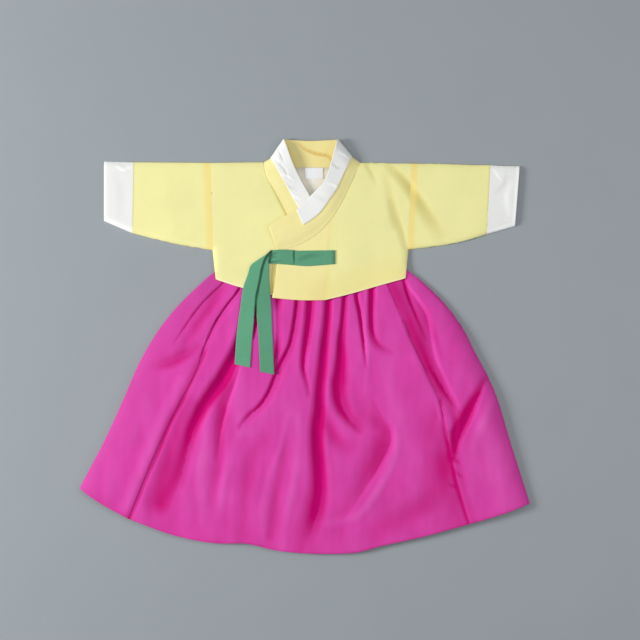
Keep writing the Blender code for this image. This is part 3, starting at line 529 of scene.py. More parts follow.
ARMHOLE_LEFT = straight(UNDERARM_LEFT, ARM_TOP_LEFT)
ARMHOLE_RIGHT = straight(UNDERARM_RIGHT, ARM_TOP_RIGHT)
SLEEVE_LOW_LEFT = curve(CUFF_LOW_LEFT, (-243, 185), (-187, 174), UNDERARM_LEFT)
SLEEVE_LOW_RIGHT = curve(UNDERARM_RIGHT, (230, 177), (272, 184), CUFF_LOW_RIGHT)
SIDE_LEFT = straight(HEM_LEFT, UNDERARM_LEFT, ARM_TOP_LEFT)
SIDE_RIGHT = straight(HEM_RIGHT, UNDERARM_RIGHT, ARM_TOP_RIGHT)
JOINED_EDGES = (
    straight(HAND_TOP_LEFT, NECK_LEFT),
    straight(NECK_RIGHT, ARM_MIDDLE_RIGHT, HAND_TOP_RIGHT),
    straight(HAND_LOW_LEFT, CUFF_LOW_LEFT),
    straight(CUFF_LOW_RIGHT, HAND_LOW_RIGHT),
    SLEEVE_LOW_LEFT,
    SLEEVE_LOW_RIGHT,
    straight(HEM_LEFT, UNDERARM_LEFT),
    straight(HEM_RIGHT, UNDERARM_RIGHT),
)
CUFF_SEAM_LEFT = straight(CUFF_LOW_LEFT, CUFF_TOP_LEFT)
CUFF_SEAM_RIGHT = straight(CUFF_LOW_RIGHT, CUFF_TOP_RIGHT)
SEOP_SEAM = curve(SEOP_HEM, SEOP_MIDDLE, SEOP_TOP)
OVERLAP_EDGE = straight(EDGE_HEM, EDGE_MIDDLE, EDGE_TOP)
JACKET_HEM = curve(HEM_LEFT, *HEM_LEFT_WAY, (-8, 82), SEOP_HEM, *HEM_RIGHT_WAY, HEM_RIGHT)
BAND_SEAM_RIGHT = curve(EDGE_TOP, (-3, 181), (28, 202), (46, 222), (83, 290), NECK_RIGHT)
BAND_SEAM_LEFT = curve(LEFT_ARM_LOW, (-31, 232), (-50, 268), (-68, 303), NECK_LEFT)
NECK_EDGE_RIGHT = curve(
    BAND_TIP, (-29, 230), WHITE_TIP, (10, 262), (35, 290), (47, 326), COLLAR_RIGHT
)
NECK_EDGE_LEFT = curve(LEFT_ARM_HIGH, (9, 263), (-6, 289), (-20, 318), COLLAR_LEFT)
FOLD_LEFT = straight(NECK_LEFT, (-58, 328), COLLAR_LEFT)
FOLD_RIGHT = straight(COLLAR_RIGHT, (81, 331), NECK_RIGHT)
SKIRT_LEFT = curve(
    SKIRT_HEM_LEFT, (-348, -164), (-316, -94), (-285, -24), (-241, 46), (-173, 116),
    (WAIST_LEFT, WAIST_Y),
)
SKIRT_RIGHT = curve(
    SKIRT_HEM_RIGHT, (357, -164), (336, -94), (328, -72), (294, -6), (279, 25), (200, 116),
    (WAIST_RIGHT, WAIST_Y),
)
SKIRT_HEM = curve(
    SKIRT_HEM_LEFT, HEM_MID_LEFT, SEAM_HEM_LEFT, *HEM_MIDDLE, SEAM_HEM_RIGHT, HEM_MID_RIGHT,
    SKIRT_HEM_RIGHT,
)
SKIRT_SEAM_LEFT = curve(
    SEAM_HEM_LEFT, (-259, -185), (-220, -104), (-187, -40), (-166, 27), (-117, 102),
    SEAM_TOP_LEFT,
)
SKIRT_SEAM_RIGHT = curve(
    SEAM_HEM_RIGHT, (264, -232), (253, -185), (240, -115), (217, -54), (191, 1), (169, 58),
    (144, 106), SEAM_TOP_RIGHT,
)


# Materials

def srgb_to_linear(code):
    values = [int(code[i:i + 2], 16) / 255 for i in (0, 2, 4)]
    return [v / 12.92 if v <= 0.04045 else ((v + 0.055) / 1.055) ** 2.4 for v in values] + [1]


def add(tree, kind, inputs=None, **settings):
    """Adds a node with its settings. An input is given a value, or another node's output."""
    made = tree.nodes.new("ShaderNode" + kind)
    for name, value in settings.items():
        setattr(made, name, value)
    for name, value in (inputs or {}).items():
        if isinstance(value, bpy.types.NodeSocket):
            tree.links.new(value, made.inputs[name])
        else:
            made.inputs[name].default_value = value
    return made


# How far apart the threads and slubs are and how high they stand, in millimetres, and by what
# share the colour is uneven. Real threads of these cloths are 0.1 to 0.3 mm apart, too fine to
# show, so they are drawn 0.6 to 1 mm apart.
Weave = namedtuple("Weave", "thread slub relief mottle roughness sheen specular")
# A cloth's material: its colours where raised (painted highlight), level, deep (painted shade) and
# over seam turnings
Finish = namedtuple("Finish", "name raised level deep seam weave")

# Polyester taffeta lined with itself: crisp, so its folds stay sharp, with a soft gloss. Raised
# cloth gets a paler painted highlight, and cloth deep in a fold a crimson painted shade for the
# light its folds throw on each other. Its threads are 0.12 mm apart, drawn coarser.
TAFFETA = Finish("magenta_polyester_taffeta", "skirt_raised", "skirt", "skirt_deep", "skirt_side",
                 Weave(0.9, 1.6, 0.05, 0.06, 0.6, 0.05, 0.04))
# Silk-like polyester, lined and pressed: a matt glow, with the turnings of the seams showing
# through it a little warmer. Its creases get painted shade, its turned edges a painted highlight.
SILK = Finish("yellow_silk_like_polyester", "jacket_edge", "jacket", "jacket_deep", "jacket_warm",
              Weave(0.9, 1.4, 0.05, 0.03, 0.62, 0.1, 0.35))
# The same cloth on stiff interfacing, so it is flatter, and warmer in colour. The collar's back
# gets painted shade, deepest in its crease.
COLLAR_SILK = Finish("yellow_interfaced_collar_silk", "collar", "collar", "collar_deep",
                     "collar_deep", Weave(0.9, 1.4, 0.04, 0.03, 0.58, 0.1, 0.35))
# Polyester satin: long floating threads give it a smooth gloss; its wrinkles get painted highlight
# and shade.
SATIN = Finish("white_polyester_satin", "white_edge", "white", "white_deep", "white_deep",
               Weave(0.8, 1.2, 0.03, 0.02, 0.38, 0.1, 0.5))
# Fine ribbed polyester: matt, and a little lighter where it catches the light. Its gathers get
# painted shade.
RIBBED = Finish("green_ribbed_polyester", "ribbon", "ribbon", "ribbon_deep", "ribbon_deep",
                Weave(1.0, 1.5, 0.06, 0.06, 0.6, 0.15, 0.35))
# Thin plain lining, greyish where painted shade marks it inside the neck, with a pale seam.
PLAIN = Finish("beige_plain_lining", "lining", "lining", "lining_deep", "label",
               Weave(0.8, 1.4, 0.04, 0.04, 0.7, 0.05, 0.3))
# Woven satin tape, left blank.
TAPE = Finish("white_woven_label_tape", "label", "label", "white_deep", "white_deep",
              Weave(0.6, 1.0, 0.04, 0.03, 0.5, 0.05, 0.4))

WAVE_TO_SPACING = 0.314  # a Wave texture at scale 1 has its bands this far apart
NOISE_RANGE = {"From Min": 0.3, "From Max": 0.7}  # where nearly all of a Noise texture lies
GRAIN_RANGE = {"From Min": 0.7, "From Max": 1.3}  # and of the sum of two
SLUB_STRETCH = (1, 0.06, 1), (0.08, 1, 1)  # long along the warp and along the weft
CLOUD_SIZE, PAPER_CLOUD_SIZE = 60, 120  # how far apart the faint clouds of colour are


def new_material(name):
    """A new node material, its tree and its shader."""
    made = bpy.data.materials.new(name)
    made.use_nodes = True
    return made, made.node_tree, made.node_tree.nodes["Principled BSDF"]


def woven(finish, colours):
    """A woven cloth: threads both ways, uneven slubs, painted shade down in the folds, painted
    highlight where raised, and a warmer colour where a seam's turnings lie under it, which on the
    skirt is a duller painted shade where it rolls over at the side. It reads the piece's own map,
    in metres."""
    made, tree, shader = new_material(finish.name)
    weave = finish.weave
    raised, plain, deep, seam = [getattr(colours, name) for name in finish[1:5]]
    map_ = add(tree, "UVMap", uv_map="cloth").outputs["UV"]
    threads = [
        add(tree, "TexWave", {"Vector": map_, "Scale": WAVE_TO_SPACING / (weave.thread * MM),
                              "Distortion": 0.6, "Detail": 1.0, "Detail Scale": 0.3},
            bands_direction=way).outputs["Fac"]
        for way in "XY"
    ]
    crossed = add(tree, "Math", dict(enumerate(threads)), operation="MULTIPLY")
    slubs = []
    for stretch in SLUB_STRETCH:
        drawn_out = add(tree, "Mapping", {"Vector": map_, "Scale": stretch}).outputs["Vector"]
        slubs.append(add(tree, "TexNoise", {"Vector": drawn_out, "Detail": 3.0,
                                            "Scale": 1 / (weave.slub * MM)}).outputs["Fac"])
    grain = add(tree, "Math", dict(enumerate(slubs)), operation="ADD").outputs[0]
    height = add(tree, "Math", {0: grain, 1: 0.5, 2: crossed.outputs[0]},
                 operation="MULTIPLY_ADD")
    bump = add(tree, "Bump", {"Height": height.outputs[0], "Distance": weave.relief * MM,
                              "Strength": 0.6})
    # Painted tone of each point: painted highlight where raised, painted shade deep in a fold
    trough = add(tree, "Attribute", attribute_name="trough")
    turned = add(tree, "Attribute", attribute_name="turnings")
    painted_shading = add(tree, "ValToRGB", {"Fac": trough.outputs["Fac"]})
    tones = painted_shading.color_ramp.elements
    tones[0].color, tones[1].color = raised, deep
    tones.new(LEVEL_TONE).color = plain
    # Warmer over seam turnings; on the skirt this is the duller painted shade of its rolled left
    # side
    at_seams = add(tree, "MixRGB", {"Fac": turned.outputs["Fac"],
                                    "Color1": painted_shading.outputs["Color"], "Color2": seam})
    cloudy = add(tree, "TexNoise", {"Vector": map_, "Scale": 1 / (CLOUD_SIZE * MM),
                                    "Detail": 2.0})
    clouds = add(tree, "MapRange", {"Value": cloudy.outputs["Fac"], **NOISE_RANGE,
                                    "To Min": 1 - weave.mottle,
                                    "To Max": 1 + 0.4 * weave.mottle})
    streaks = add(tree, "MapRange", {"Value": grain, **GRAIN_RANGE,
                                     "To Min": 1 - 0.5 * weave.mottle,
                                     "To Max": 1 + 0.3 * weave.mottle})
    uneven = add(tree, "Math", {0: clouds.outputs["Result"], 1: streaks.outputs["Result"]},
                 operation="MULTIPLY")
    tinted = add(tree, "VectorMath", {0: at_seams.outputs["Color"], "Scale": uneven.outputs[0]},
                 operation="SCALE")
    rough = add(tree, "MapRange", {"Value": grain, **GRAIN_RANGE,
                                   "To Min": weave.roughness - 0.05,
                                   "To Max": weave.roughness + 0.05})
    tree.links.new(tinted.outputs["Vector"], shader.inputs["Base Color"])
    tree.links.new(rough.outputs["Result"], shader.inputs["Roughness"])
    tree.links.new(bump.outputs["Normal"], shader.inputs["Normal"])
    shader.inputs["Sheen Weight"].default_value = weave.sheen
    shader.inputs["Sheen Roughness"].default_value = 0.4
    shader.inputs["Specular IOR Level"].default_value = weave.specular
    return made


def paper_sweep(colours):
    # Matt painted paper: no gloss, with a faint unevenness of tone.
    made, tree, shader = new_material("grey_matt_paper")
    where = add(tree, "TexCoord").outputs["Object"]
    fibre = add(tree, "TexNoise", {"Vector": where, "Scale": 1 / (PAPER_CLOUD_SIZE * MM),
                                   "Detail": 3.0})
    shade = add(tree, "MapRange", {"Value": fibre.outputs["Fac"], **NOISE_RANGE,
                                   "To Min": 0.99, "To Max": 1.01})
    tinted = add(tree, "VectorMath", {0: colours.floor[:3], "Scale": shade.outputs["Result"]},
                 operation="SCALE")
    tree.links.new(tinted.outputs["Vector"], shader.inputs["Base Color"])
    shader.inputs["Roughness"].default_value = 0.9
    shader.inputs["Specular IOR Level"].default_value = 0.2
    return made


FINISHES = {}


def material_of(finish, colours):
    """Each material is made once and shared."""
    if finish.name not in FINISHES:
        FINISHES[finish.name] = woven(finish, colours)
    return FINISHES[finish.name]


# Building

def creased(surface, folds):
    """A surface with folds pressed into it."""
    def pressed(u, v):
        at = surface(u, v)
        at[:, 2] -= relief(at[:, :2], folds)[0]
        return at

    return pressed


def normals(surface, u, v, step=0.004):
    """The surface's own normals, from how it changes with u and v."""
    def change(du, dv):
        return surface(np.clip(u + du, 0, 1), np.clip(v + dv, 0, 1))

    turned = np.cross(change(step, 0) - change(-step, 0), change(0, step) - change(0, -step))
    return turned / np.linalg.norm(turned, axis=1)[:, None]


def lay(place, height):
    """The underside of a piece: its patch, lifted to its height."""
    def surface(u, v):
        xy = place(u, v)
        return np.column_stack([xy, height(xy, u, v)])

    return surface


def strip_on(surface, share, start):
    """What lies on part of a piece: the piece's own points, moved out through its wall."""
    def across(u, v):
        v = start + (1 - start) * v
        low, high = share(v)
        return low + (high - low) * u, v

    def strip(u, v):
        at = across(u, v)
        return surface(*at) + JACKET_SEAM * normals(surface, *at)

    return strip


def flat(height):
    """A height rule that is the same all over."""
    return lambda xy, u, v: np.full(len(xy), float(height))


def over(rule, lift=0.0):
    """A height rule of x and y alone, raised by the layers under it."""
    return lambda xy, u, v: rule(xy) + lift


Turn = namedtuple("Turn", "out down steps")
SEAM_TURN = Turn(0.1, 0.9, 2)  # a seam's edge, which dips in
PRESSED = Turn(0.1, 0.3, 2)  # a seam that is pressed flat
HEM_TURN = Turn(0.4, 1.2, 3)  # a hem, which is turned under
ROLLED = Turn(0.5, None, 5)  # a folded edge, which rolls down to the surface
TO_FLOOR = 0.15  # where a rolled edge ends over the surface
SIDES = {"left": (1, False), "right": (1, True), "low": (0, False), "top": (0, True)}


def roll_down(points, axis, at_last, turn):
    """Adds rows or columns of points to one side, which turn out and down like a rolled edge."""
    points = np.moveaxis(points, axis, 0)
    edge, inner = (points[-1], points[-2]) if at_last else (points[0], points[1])
    outward = (edge - inner)[:, :2]
    outward /= np.linalg.norm(outward, axis=1)[:, None]
    deep = edge[:, 2] - TO_FLOOR if turn.down is None else turn.down
    rows = []
    for k in range(1, turn.steps + 1):
        angle = (math.pi if turn.down is None else 0.5 * math.pi) * k / turn.steps
        fall = 0.5 * (1 - math.cos(angle)) if turn.down is None else 1 - math.cos(angle)
        row = edge.copy()
        row[:, :2] += turn.out * math.sin(angle) * outward
        row[:, 2] = np.maximum(row[:, 2] - deep * fall, TO_FLOOR)
        rows.append(row)
    rows = np.array(rows)
    joined = np.concatenate([points, rows]) if at_last else np.concatenate([rows[::-1], points])
    return np.moveaxis(joined, 0, axis)


# What a piece is made of: its wall in the frame, the size that gives its real thickness, its finish
Stuff = namedtuple("Stuff", "wall size finish")
SKIRT = Stuff(SKIRT_CLOTH, "skirt_cloth", TAFFETA)
WAISTBAND = Stuff(WAISTBAND_CLOTH, "waistband", TAFFETA)
JACKET = Stuff(LINED_CLOTH, "jacket_cloth", SILK)
COLLAR = Stuff(LINED_CLOTH, "jacket_cloth", COLLAR_SILK)
CUFF = Stuff(LINED_CLOTH, "jacket_cloth", SATIN)
STRIP = Stuff(TRIM_CLOTH, "trim_cloth", SATIN)
LINING = Stuff(TRIM_CLOTH, "trim_cloth", PLAIN)
LABEL = Stuff(TRIM_CLOTH, "label_tape", TAPE)
RIBBON = Stuff(TRIM_CLOTH, "trim_cloth", RIBBED)
SMOOTH_ANGLE = math.radians(70)


def unmarked(xy):
    """Marks for level cloth with no seam turnings."""
    return toned(np.full(len(xy), LEVEL_TONE))


def grid_of(name, points):
    """A mesh object with the rows and columns of points as its vertices."""
    rows, columns = points.shape[:2]
    bpy.ops.object.select_all(action="DESELECT")
    bpy.ops.mesh.primitive_grid_add(x_subdivisions=columns - 1, y_subdivisions=rows - 1, size=1)
    piece = bpy.context.object
    piece.name = piece.data.name = name
    piece.data.vertices.foreach_set("co", (points * MM).ravel())
    return piece


def shell(name, surface, cells, stuff, turns=None, spread=(even, even), grain=0.0,
          marks=unmarked):
    """A thin cloth shell: a grid put on the outside of its place in the frame, its edges turned,
    then given its thickness inwards. marks gives each point's painted tone, from painted highlight
    to painted shade deep in a fold, and how far the colour over its seam turnings shows."""
    sizes, colours = settings()
    u = spread[0](np.linspace(0, 1, cells[0] + 1))
    v = spread[1](np.linspace(0, 1, cells[1] + 1))
    every_u, every_v = [grid.ravel() for grid in np.meshgrid(u, v)]
    low = surface(every_u, every_v).reshape(len(v), len(u), 3)
    up = np.cross(np.gradient(low, axis=1), np.gradient(low, axis=0))
    points = low + stuff.wall * up / np.linalg.norm(up, axis=2)[..., None]
    for side, turn in (turns or {}).items():
        points = roll_down(points, *SIDES[side], turn)
    piece = grid_of(name, points)
    at, mesh = points.reshape(-1, 3), piece.data
    lay_map(mesh, at, grain)
    for title, values in zip(("trough", "turnings"), marks(at[:, :2])):
        mesh.attributes.new(title, "FLOAT", "POINT").data.foreach_set("value", values)
    mesh.update()
    thickness = piece.modifiers.new("thickness", "SOLIDIFY")
    thickness.thickness = getattr(sizes, stuff.size)
    thickness.offset = -1
    bpy.ops.object.modifier_apply(modifier=thickness.name)
    rest_on_surface(mesh)
    bpy.ops.object.shade_smooth_by_angle(angle=SMOOTH_ANGLE)
    mesh.materials.append(material_of(stuff.finish, colours))
    return piece


def rest_on_surface(mesh):
    """Lifts what a steep edge's thickness puts under the surface that the garment lies on."""
    at = np.empty(len(mesh.vertices) * 3)
    mesh.vertices.foreach_get("co", at)
    at[2::3] = np.maximum(at[2::3], TO_FLOOR * MM)
    mesh.vertices.foreach_set("co", at)
    mesh.update()


def lay_map(mesh, at, grain):
    """The piece's map: the cloth's own plane in metres, turned to its grain."""
    turn = math.radians(grain)
    across = at[:, 0] * math.cos(turn) + at[:, 1] * math.sin(turn)
    along = at[:, 1] * math.cos(turn) - at[:, 0] * math.sin(turn)
    flat_at = np.column_stack([across, along]) * MM
    corners = np.empty(len(mesh.loops), np.int32)
    mesh.loops.foreach_get("vertex_index", corners)
    layer = mesh.uv_layers[0]
    layer.name = "cloth"
    layer.uv.foreach_set("vector", flat_at[corners].astype(np.float32).ravel())


def sew(name, node, surface, cells, stuff, slot, cut, lies_on=(), **shape):
    """Makes a piece and puts it in its node's place, hiding the node."""
    piece = shell(name, surface, cells, stuff, **shape)
    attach(piece, "root")
    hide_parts(node)


# Marks

def toned(tone, warm=0):
    """The two marks of each point, each kept from 0 to 1."""
    return np.clip(tone, 0, 1), np.clip(warm + np.zeros(len(tone)), 0, 1)


def creases(folds, full_depth, from_level):
    """Marks for cloth whose painted tone starts this far from level and gets painted shade in its
    folds.
    """
    return lambda xy: toned(LEVEL_TONE + from_level + relief(xy, folds)[1] / full_depth)


def skirt_marks(xy):
    """Painted shade for the skirt: in its folds, along its edges, at its left side and at its hem.
    """
    # Painted shade of the folds, lighter on the ripples' rises and darker in their dips
    deep = relief(xy, SKIRT_FOLDS)[1] - ripples(xy, SKIRT_RIPPLES)
    to_left, to_right, to_hem = [
        nearest(xy, edge, 25)[0] for edge in (SKIRT_LEFT, SKIRT_RIGHT, SKIRT_HEM)
    ]
    edge_shade = 1 - ramp(np.min([to_left, to_right, to_hem], axis=0), *EDGE_SHADE_RANGE)
    hem = ramp(xy[:, 1], *HEM_Y) * (1 - HEM_LIT_SHARE * ramp(xy[:, 0], *HEM_LIT_X))
    tone = (
        LEVEL_TONE + deep / SKIRT_DEPTH + HEM_SHADE_TONE * hem + EDGE_SHADE_TONE * edge_shade
        + LEFT_SHADE_TONE * (1 - ramp(to_left, *LEFT_SHADE))
    )
    # The second mark is the duller painted shade where the left side rolls over
    return toned(tone, SIDE_SHADE_SHARE * (1 - ramp(to_left, *SIDE_ROLL)))


def turnings_by(xy, shown, *seams):
    """What shows on one side of each seam, 1 for its left: turnings, dark seam lines and painted
    shadows.
    """
    near = np.zeros(len(xy))
    for seam, on_side in seams:
        away, side, _ = nearest(xy, seam, 9)
        within = 1 - ramp(away, shown.width - shown.soft, shown.width + 1)
        near = np.maximum(near, np.where(side == on_side, within, 0))
    return shown.strength * near


def jacket_marks(xy):
    """The jacket gets a painted highlight along its hem, painted shade in its creases, a dark line
    beside its joined seams and painted shadow where the overlap and collar shade it, and is warmer
    over its turnings and its hem."""
    to_hem = nearest(xy, JACKET_HEM, 25)[0]
    tone = (
        LEVEL_TONE + relief(xy, JACKET_FOLDS)[1] / JACKET_DEPTH
        - EDGE_HIGHLIGHT * (1 - ramp(to_hem, *JACKET_EDGE))
        + turnings_by(xy, SEAM_LINE, (CUFF_SEAM_LEFT, -1), (CUFF_SEAM_RIGHT, 1),
                      (BAND_SEAM_LEFT, 1), (BAND_SEAM_LEFT, -1))
        + turnings_by(xy, OVERLAP_SHADE, (OVERLAP_EDGE, 1)) * ramp(xy[:, 1], *OVERLAP_SHADE_Y)
        + turnings_by(xy, COLLAR_SHADE, (BAND_SEAM_LEFT, 1)) * ramp(xy[:, 1], *COLLAR_SHADE_Y)
    )
    over_hem = (1 - ramp(to_hem, *HEM_GLOW)) * ramp(xy[:, 0], *HEM_GLOW_X)
    warm = (
        turnings_by(xy, ARMHOLE_TURNINGS, (ARMHOLE_LEFT, 1), (ARMHOLE_RIGHT, -1))
        + turnings_by(xy, SEOP_TURNINGS, (SEOP_SEAM, -1)) + HEM_WARM * over_hem
    )
    return toned(tone, warm)


def cuff_marks(xy):
    """Painted highlight along the cuffs' outer and lower edges, and painted glints and shade on
    their face.
    """
    edges = (
        straight(HAND_LOW_LEFT, HAND_TOP_LEFT), straight(HAND_LOW_RIGHT, HAND_TOP_RIGHT),
        straight(HAND_LOW_LEFT, CUFF_LOW_LEFT), straight(CUFF_LOW_RIGHT, HAND_LOW_RIGHT),
    )
    away = np.min([nearest(xy, edge, 3)[0] for edge in edges], axis=0)
    deep = relief(xy, CUFF_FOLDS)[1] / CUFF_DEPTH
    return toned(LEVEL_TONE + deep - EDGE_HIGHLIGHT * (1 - ramp(away, *CUFF_EDGE)))


def lining_marks(xy):
    """The lining gets painted shade at its top, and its seam shows as a pale line."""
    tone = LEVEL_TONE + LINING_SHADE_TONE * ramp(xy[:, 1], *LINING_TOP_Y)
    return toned(tone, 1 - ramp(np.abs(xy[:, 0] - LINING_SEAM_X), *LINING_SEAM))


def ribbon_marks(shade):
    """Painted shade for the ribbon: in its gathers, a painted shadow where its two tails part, and
    a set amount for each piece.
    """
    def marks(xy):
        parting_shadow = 1 - ramp(nearest(xy, curve(*PARTING), 13)[0], *PARTING_LINE)
        return toned(LEVEL_TONE + shade + relief(xy, RIBBON_FOLDS)[1] + PARTING_SHADOW_TONE * parting_shadow)

    return marks


# Skirt

def skirt_back():
    def inset(side, shift):
        points = [tuple(p) for p in side(np.linspace(0, 1, 9)) + np.array([shift, 0])]
        points[0] = (points[0][0], points[0][1] + BACK_INSET)
        return curve(*points)

    left, right = inset(SKIRT_LEFT, BACK_INSET), inset(SKIRT_RIGHT, -BACK_INSET)
    low_left, top_left = left(np.array([0, 1]))
    low_right, top_right = right(np.array([0, 1]))
    hem = curve(
        low_left, (-219, -326), (-94, -339), (30, -356), (134, -342), (261, -312), low_right
    )
    place = patch(hem, straight(top_left, top_right), left, right)
    sew("skirt_back", "chima_back", lay(place, over(skirt_back_height)), (90, 70), SKIRT,
        "magenta_satin", Cut(790, 520, 0.72), ["jeogori_back_left"])


def skirt_front():
    waist_left, waist_right = (WAIST_LEFT, WAIST_Y), (WAIST_RIGHT, WAIST_Y)
    hem_left = curve(SKIRT_HEM_LEFT, HEM_MID_LEFT, SEAM_HEM_LEFT)
    hem_centre = curve(SEAM_HEM_LEFT, *HEM_MIDDLE, SEAM_HEM_RIGHT)
    hem_right = curve(SEAM_HEM_RIGHT, HEM_MID_RIGHT, SKIRT_HEM_RIGHT)
    panels = (
        ("left", (hem_left, straight(waist_left, SEAM_TOP_LEFT), SKIRT_LEFT, SKIRT_SEAM_LEFT),
         (48, 150), (ROLLED, SEAM_TURN), (at_start, even), -28, Cut(115, 520, 0.62)),
        ("centre", (hem_centre, straight(SEAM_TOP_LEFT, SEAM_TOP_RIGHT), SKIRT_SEAM_LEFT,
                    SKIRT_SEAM_RIGHT),
         (220, 150), (SEAM_TURN, SEAM_TURN), (even, even), 0, Cut(640, 520, 0.66)),
        ("right", (hem_right, straight(SEAM_TOP_RIGHT, waist_right), SKIRT_SEAM_RIGHT,
                   SKIRT_RIGHT),
         (52, 150), (SEAM_TURN, ROLLED), (at_end, even), 22, Cut(130, 520, 0.62)),
    )
    for side, edges, cells, (to_left, to_right), spread, grain, cut in panels:
        surface = lay(patch(*edges, inset=0.5 * SEAM_GAP), over(skirt_height))
        turns = {"left": to_left, "right": to_right, "low": HEM_TURN}
        sew(f"skirt_front_{side}", f"chima_front_{side}", surface, cells, SKIRT, "magenta_satin",
            cut, ["chima_back"], turns=turns, spread=spread, grain=grain, marks=skirt_marks)


def waistband():
    low = (WAIST_LEFT, WAIST_Y), (WAIST_RIGHT, WAIST_Y)
    top = (WAIST_LEFT, WAIST_Y + BAND_HEIGHT), (WAIST_RIGHT, WAIST_Y + BAND_HEIGHT)
    sew("waistband", "chima_waistband", lay(panel(low, top), flat(JACKET_SEAM)), (60, 10),
        WAISTBAND, "magenta_satin", Cut(276, 45, 1), ["jeogori_back_left"])


# Jacket

def jacket_back():
    neck, hem = (BACK_CENTRE_X, BACK_NECK_Y), (BACK_CENTRE_X, BACK_HEM_Y)
    centre = straight(hem, neck)
    top_left = straight(ARM_TOP_LEFT, NECK_LEFT, NECK_BACK[0], neck)
    top_right = straight(neck, NECK_BACK[1], NECK_RIGHT, ARM_TOP_RIGHT)
    halves = (
        ("left", patch(straight(HEM_LEFT, hem), top_left, SIDE_LEFT, centre)),
        ("right", patch(straight(hem, HEM_RIGHT), top_right, centre, SIDE_RIGHT)),
    )
    for side, place in halves:
        sew(f"jacket_back_{side}", f"jeogori_back_{side}", lay(place, flat(0)), (36, 40), JACKET,
            "jacket_yellow", Cut(180, 205, 0.92))


def jacket_fronts():
    low = {"low": HEM_TURN}
    edge = straight(
        INNER_HEM, (52, 150), (-12, 212), (-22, 235), (-57, 296), (-69.6, 311), NECK_UNDER_LEFT
    )
    hem = curve(HEM_LEFT, *HEM_LEFT_WAY, (-8, 87), INNER_HEM)
    inner = patch(hem, straight(ARM_TOP_LEFT, NECK_UNDER_LEFT), SIDE_LEFT, edge)
    sew("jacket_front_inner", "jeogori_front_inner", lay(inner, over(jacket_height)), (90, 110),
        JACKET, "jacket_yellow", Cut(210, 235, 0.62), ["jeogori_back_left", "chima_front_centre"],
        turns=low, spread=(at_start, both_ends), marks=jacket_marks)

    edge = straight(SEOP_HEM, SEOP_MIDDLE, SEOP_TOP, (68, 284), (89.6, 304), NECK_RIGHT)
    hem = curve(SEOP_HEM, *HEM_RIGHT_WAY, HEM_RIGHT)
    outer = patch(hem, straight(NECK_RIGHT, ARM_TOP_RIGHT), edge, SIDE_RIGHT)
    sew("jacket_front_outer", "jeogori_front_outer", lay(outer, over(outer_height)), (80, 110),
        JACKET, "jacket_yellow", Cut(155, 240, 0.8), ["jeogori_back_right", "jeogori_front_inner"],
        turns=low, spread=(at_end, both_ends), marks=jacket_marks)

    seop = patch(
        curve(EDGE_HEM, (-8, 81), SEOP_HEM), curve(EDGE_UNDER, (-8, 191), (22, 211), SEOP_TOP),
        straight(EDGE_HEM, EDGE_MIDDLE, EDGE_UNDER), SEOP_SEAM,
    )
    sew("jacket_overlap_panel", "jeogori_seop_outer", lay(seop, over(outer_height)), (50, 60),
        COLLAR, "jacket_yellow", Cut(100, 145, 0.75), ["jeogori_front_inner"],
        turns={"low": HEM_TURN, "left": HEM_TURN}, grain=2, marks=jacket_marks)


def sleeves():
    top_left = straight(CUFF_TOP_LEFT, ARM_TOP_LEFT)
    top_right = straight(ARM_TOP_RIGHT, ARM_MIDDLE_RIGHT, CUFF_TOP_RIGHT)
    outlines = (
        ("left", SLEEVE_LOW_LEFT, top_left, CUFF_SEAM_LEFT, ARMHOLE_LEFT),
        ("right", SLEEVE_LOW_RIGHT, top_right, ARMHOLE_RIGHT, CUFF_SEAM_RIGHT),
    )
    for side, *edges in outlines:
        under = f"sleeve_{side}_back"
        back = lay(patch(*edges, inset=UNDER_INSET), flat(0))
        sew(f"sleeve_{side}_under", under, back, (40, 30), JACKET, "jacket_yellow",
            Cut(140, 150, 0.9))
        upper = lay(patch(*edges), over(jacket_height))
        sew(f"sleeve_{side}_upper", f"sleeve_{side}_front", upper, (70, 90), JACKET,
            "jacket_yellow", Cut(142, 152, 0.9), [under], turns={"low": ROLLED, "top": ROLLED},
            spread=(even, both_ends), marks=jacket_marks)


def cuffs():
    sides = (
        ("left", (HAND_LOW_LEFT, CUFF_LOW_LEFT), (HAND_TOP_LEFT, CUFF_TOP_LEFT),
         (HEM_TURN, SEAM_TURN)),
        ("right", (CUFF_LOW_RIGHT, HAND_LOW_RIGHT), (CUFF_TOP_RIGHT, HAND_TOP_RIGHT),
         (SEAM_TURN, HEM_TURN)),
    )
    for side, low, top, (to_left, to_right) in sides:
        under = f"cuff_{side}_back"
        sew(f"cuff_{side}_under", under, lay(panel(low, top), flat(0)), (20, 30), CUFF,
            "white_cloth", Cut(52, 122, 0.9))
        turns = {"left": to_left, "right": to_right, "low": ROLLED, "top": ROLLED}
        sew(f"cuff_{side}_upper", f"cuff_{side}_front", lay(panel(low, top), over(jacket_height)),
            (40, 90), CUFF, "white_cloth", Cut(52, 122, 0.9), [under], turns=turns,
            spread=(even, both_ends), marks=cuff_marks)


# Collar

def arm_height(rule, to_neck, crossing, pressed):
    """An arm of the collar: it stands up at its neck edge, folds down at its top and is pressed
    down along its outer seam."""
    def height(xy, u, v):
        inward = to_neck(u)
        sunk = pressed * ramp(inward, *PRESSED_SHARE)
        stand = COLLAR_STAND * ramp(v, *STAND_ALONG) * inward
        lift = crossing * ramp(inward, 0, CROSSING_WIDTH) * ramp(v, *CROSSING_ALONG)
        folded = collar_back_height(xy) + JACKET_SEAM
        spread = np.maximum(rule(xy) + JACKET_SEAM + stand + lift - sunk, folded)
        return folded + (spread - folded) * rounded((1 - v) / COLLAR_ROLL)

    return height


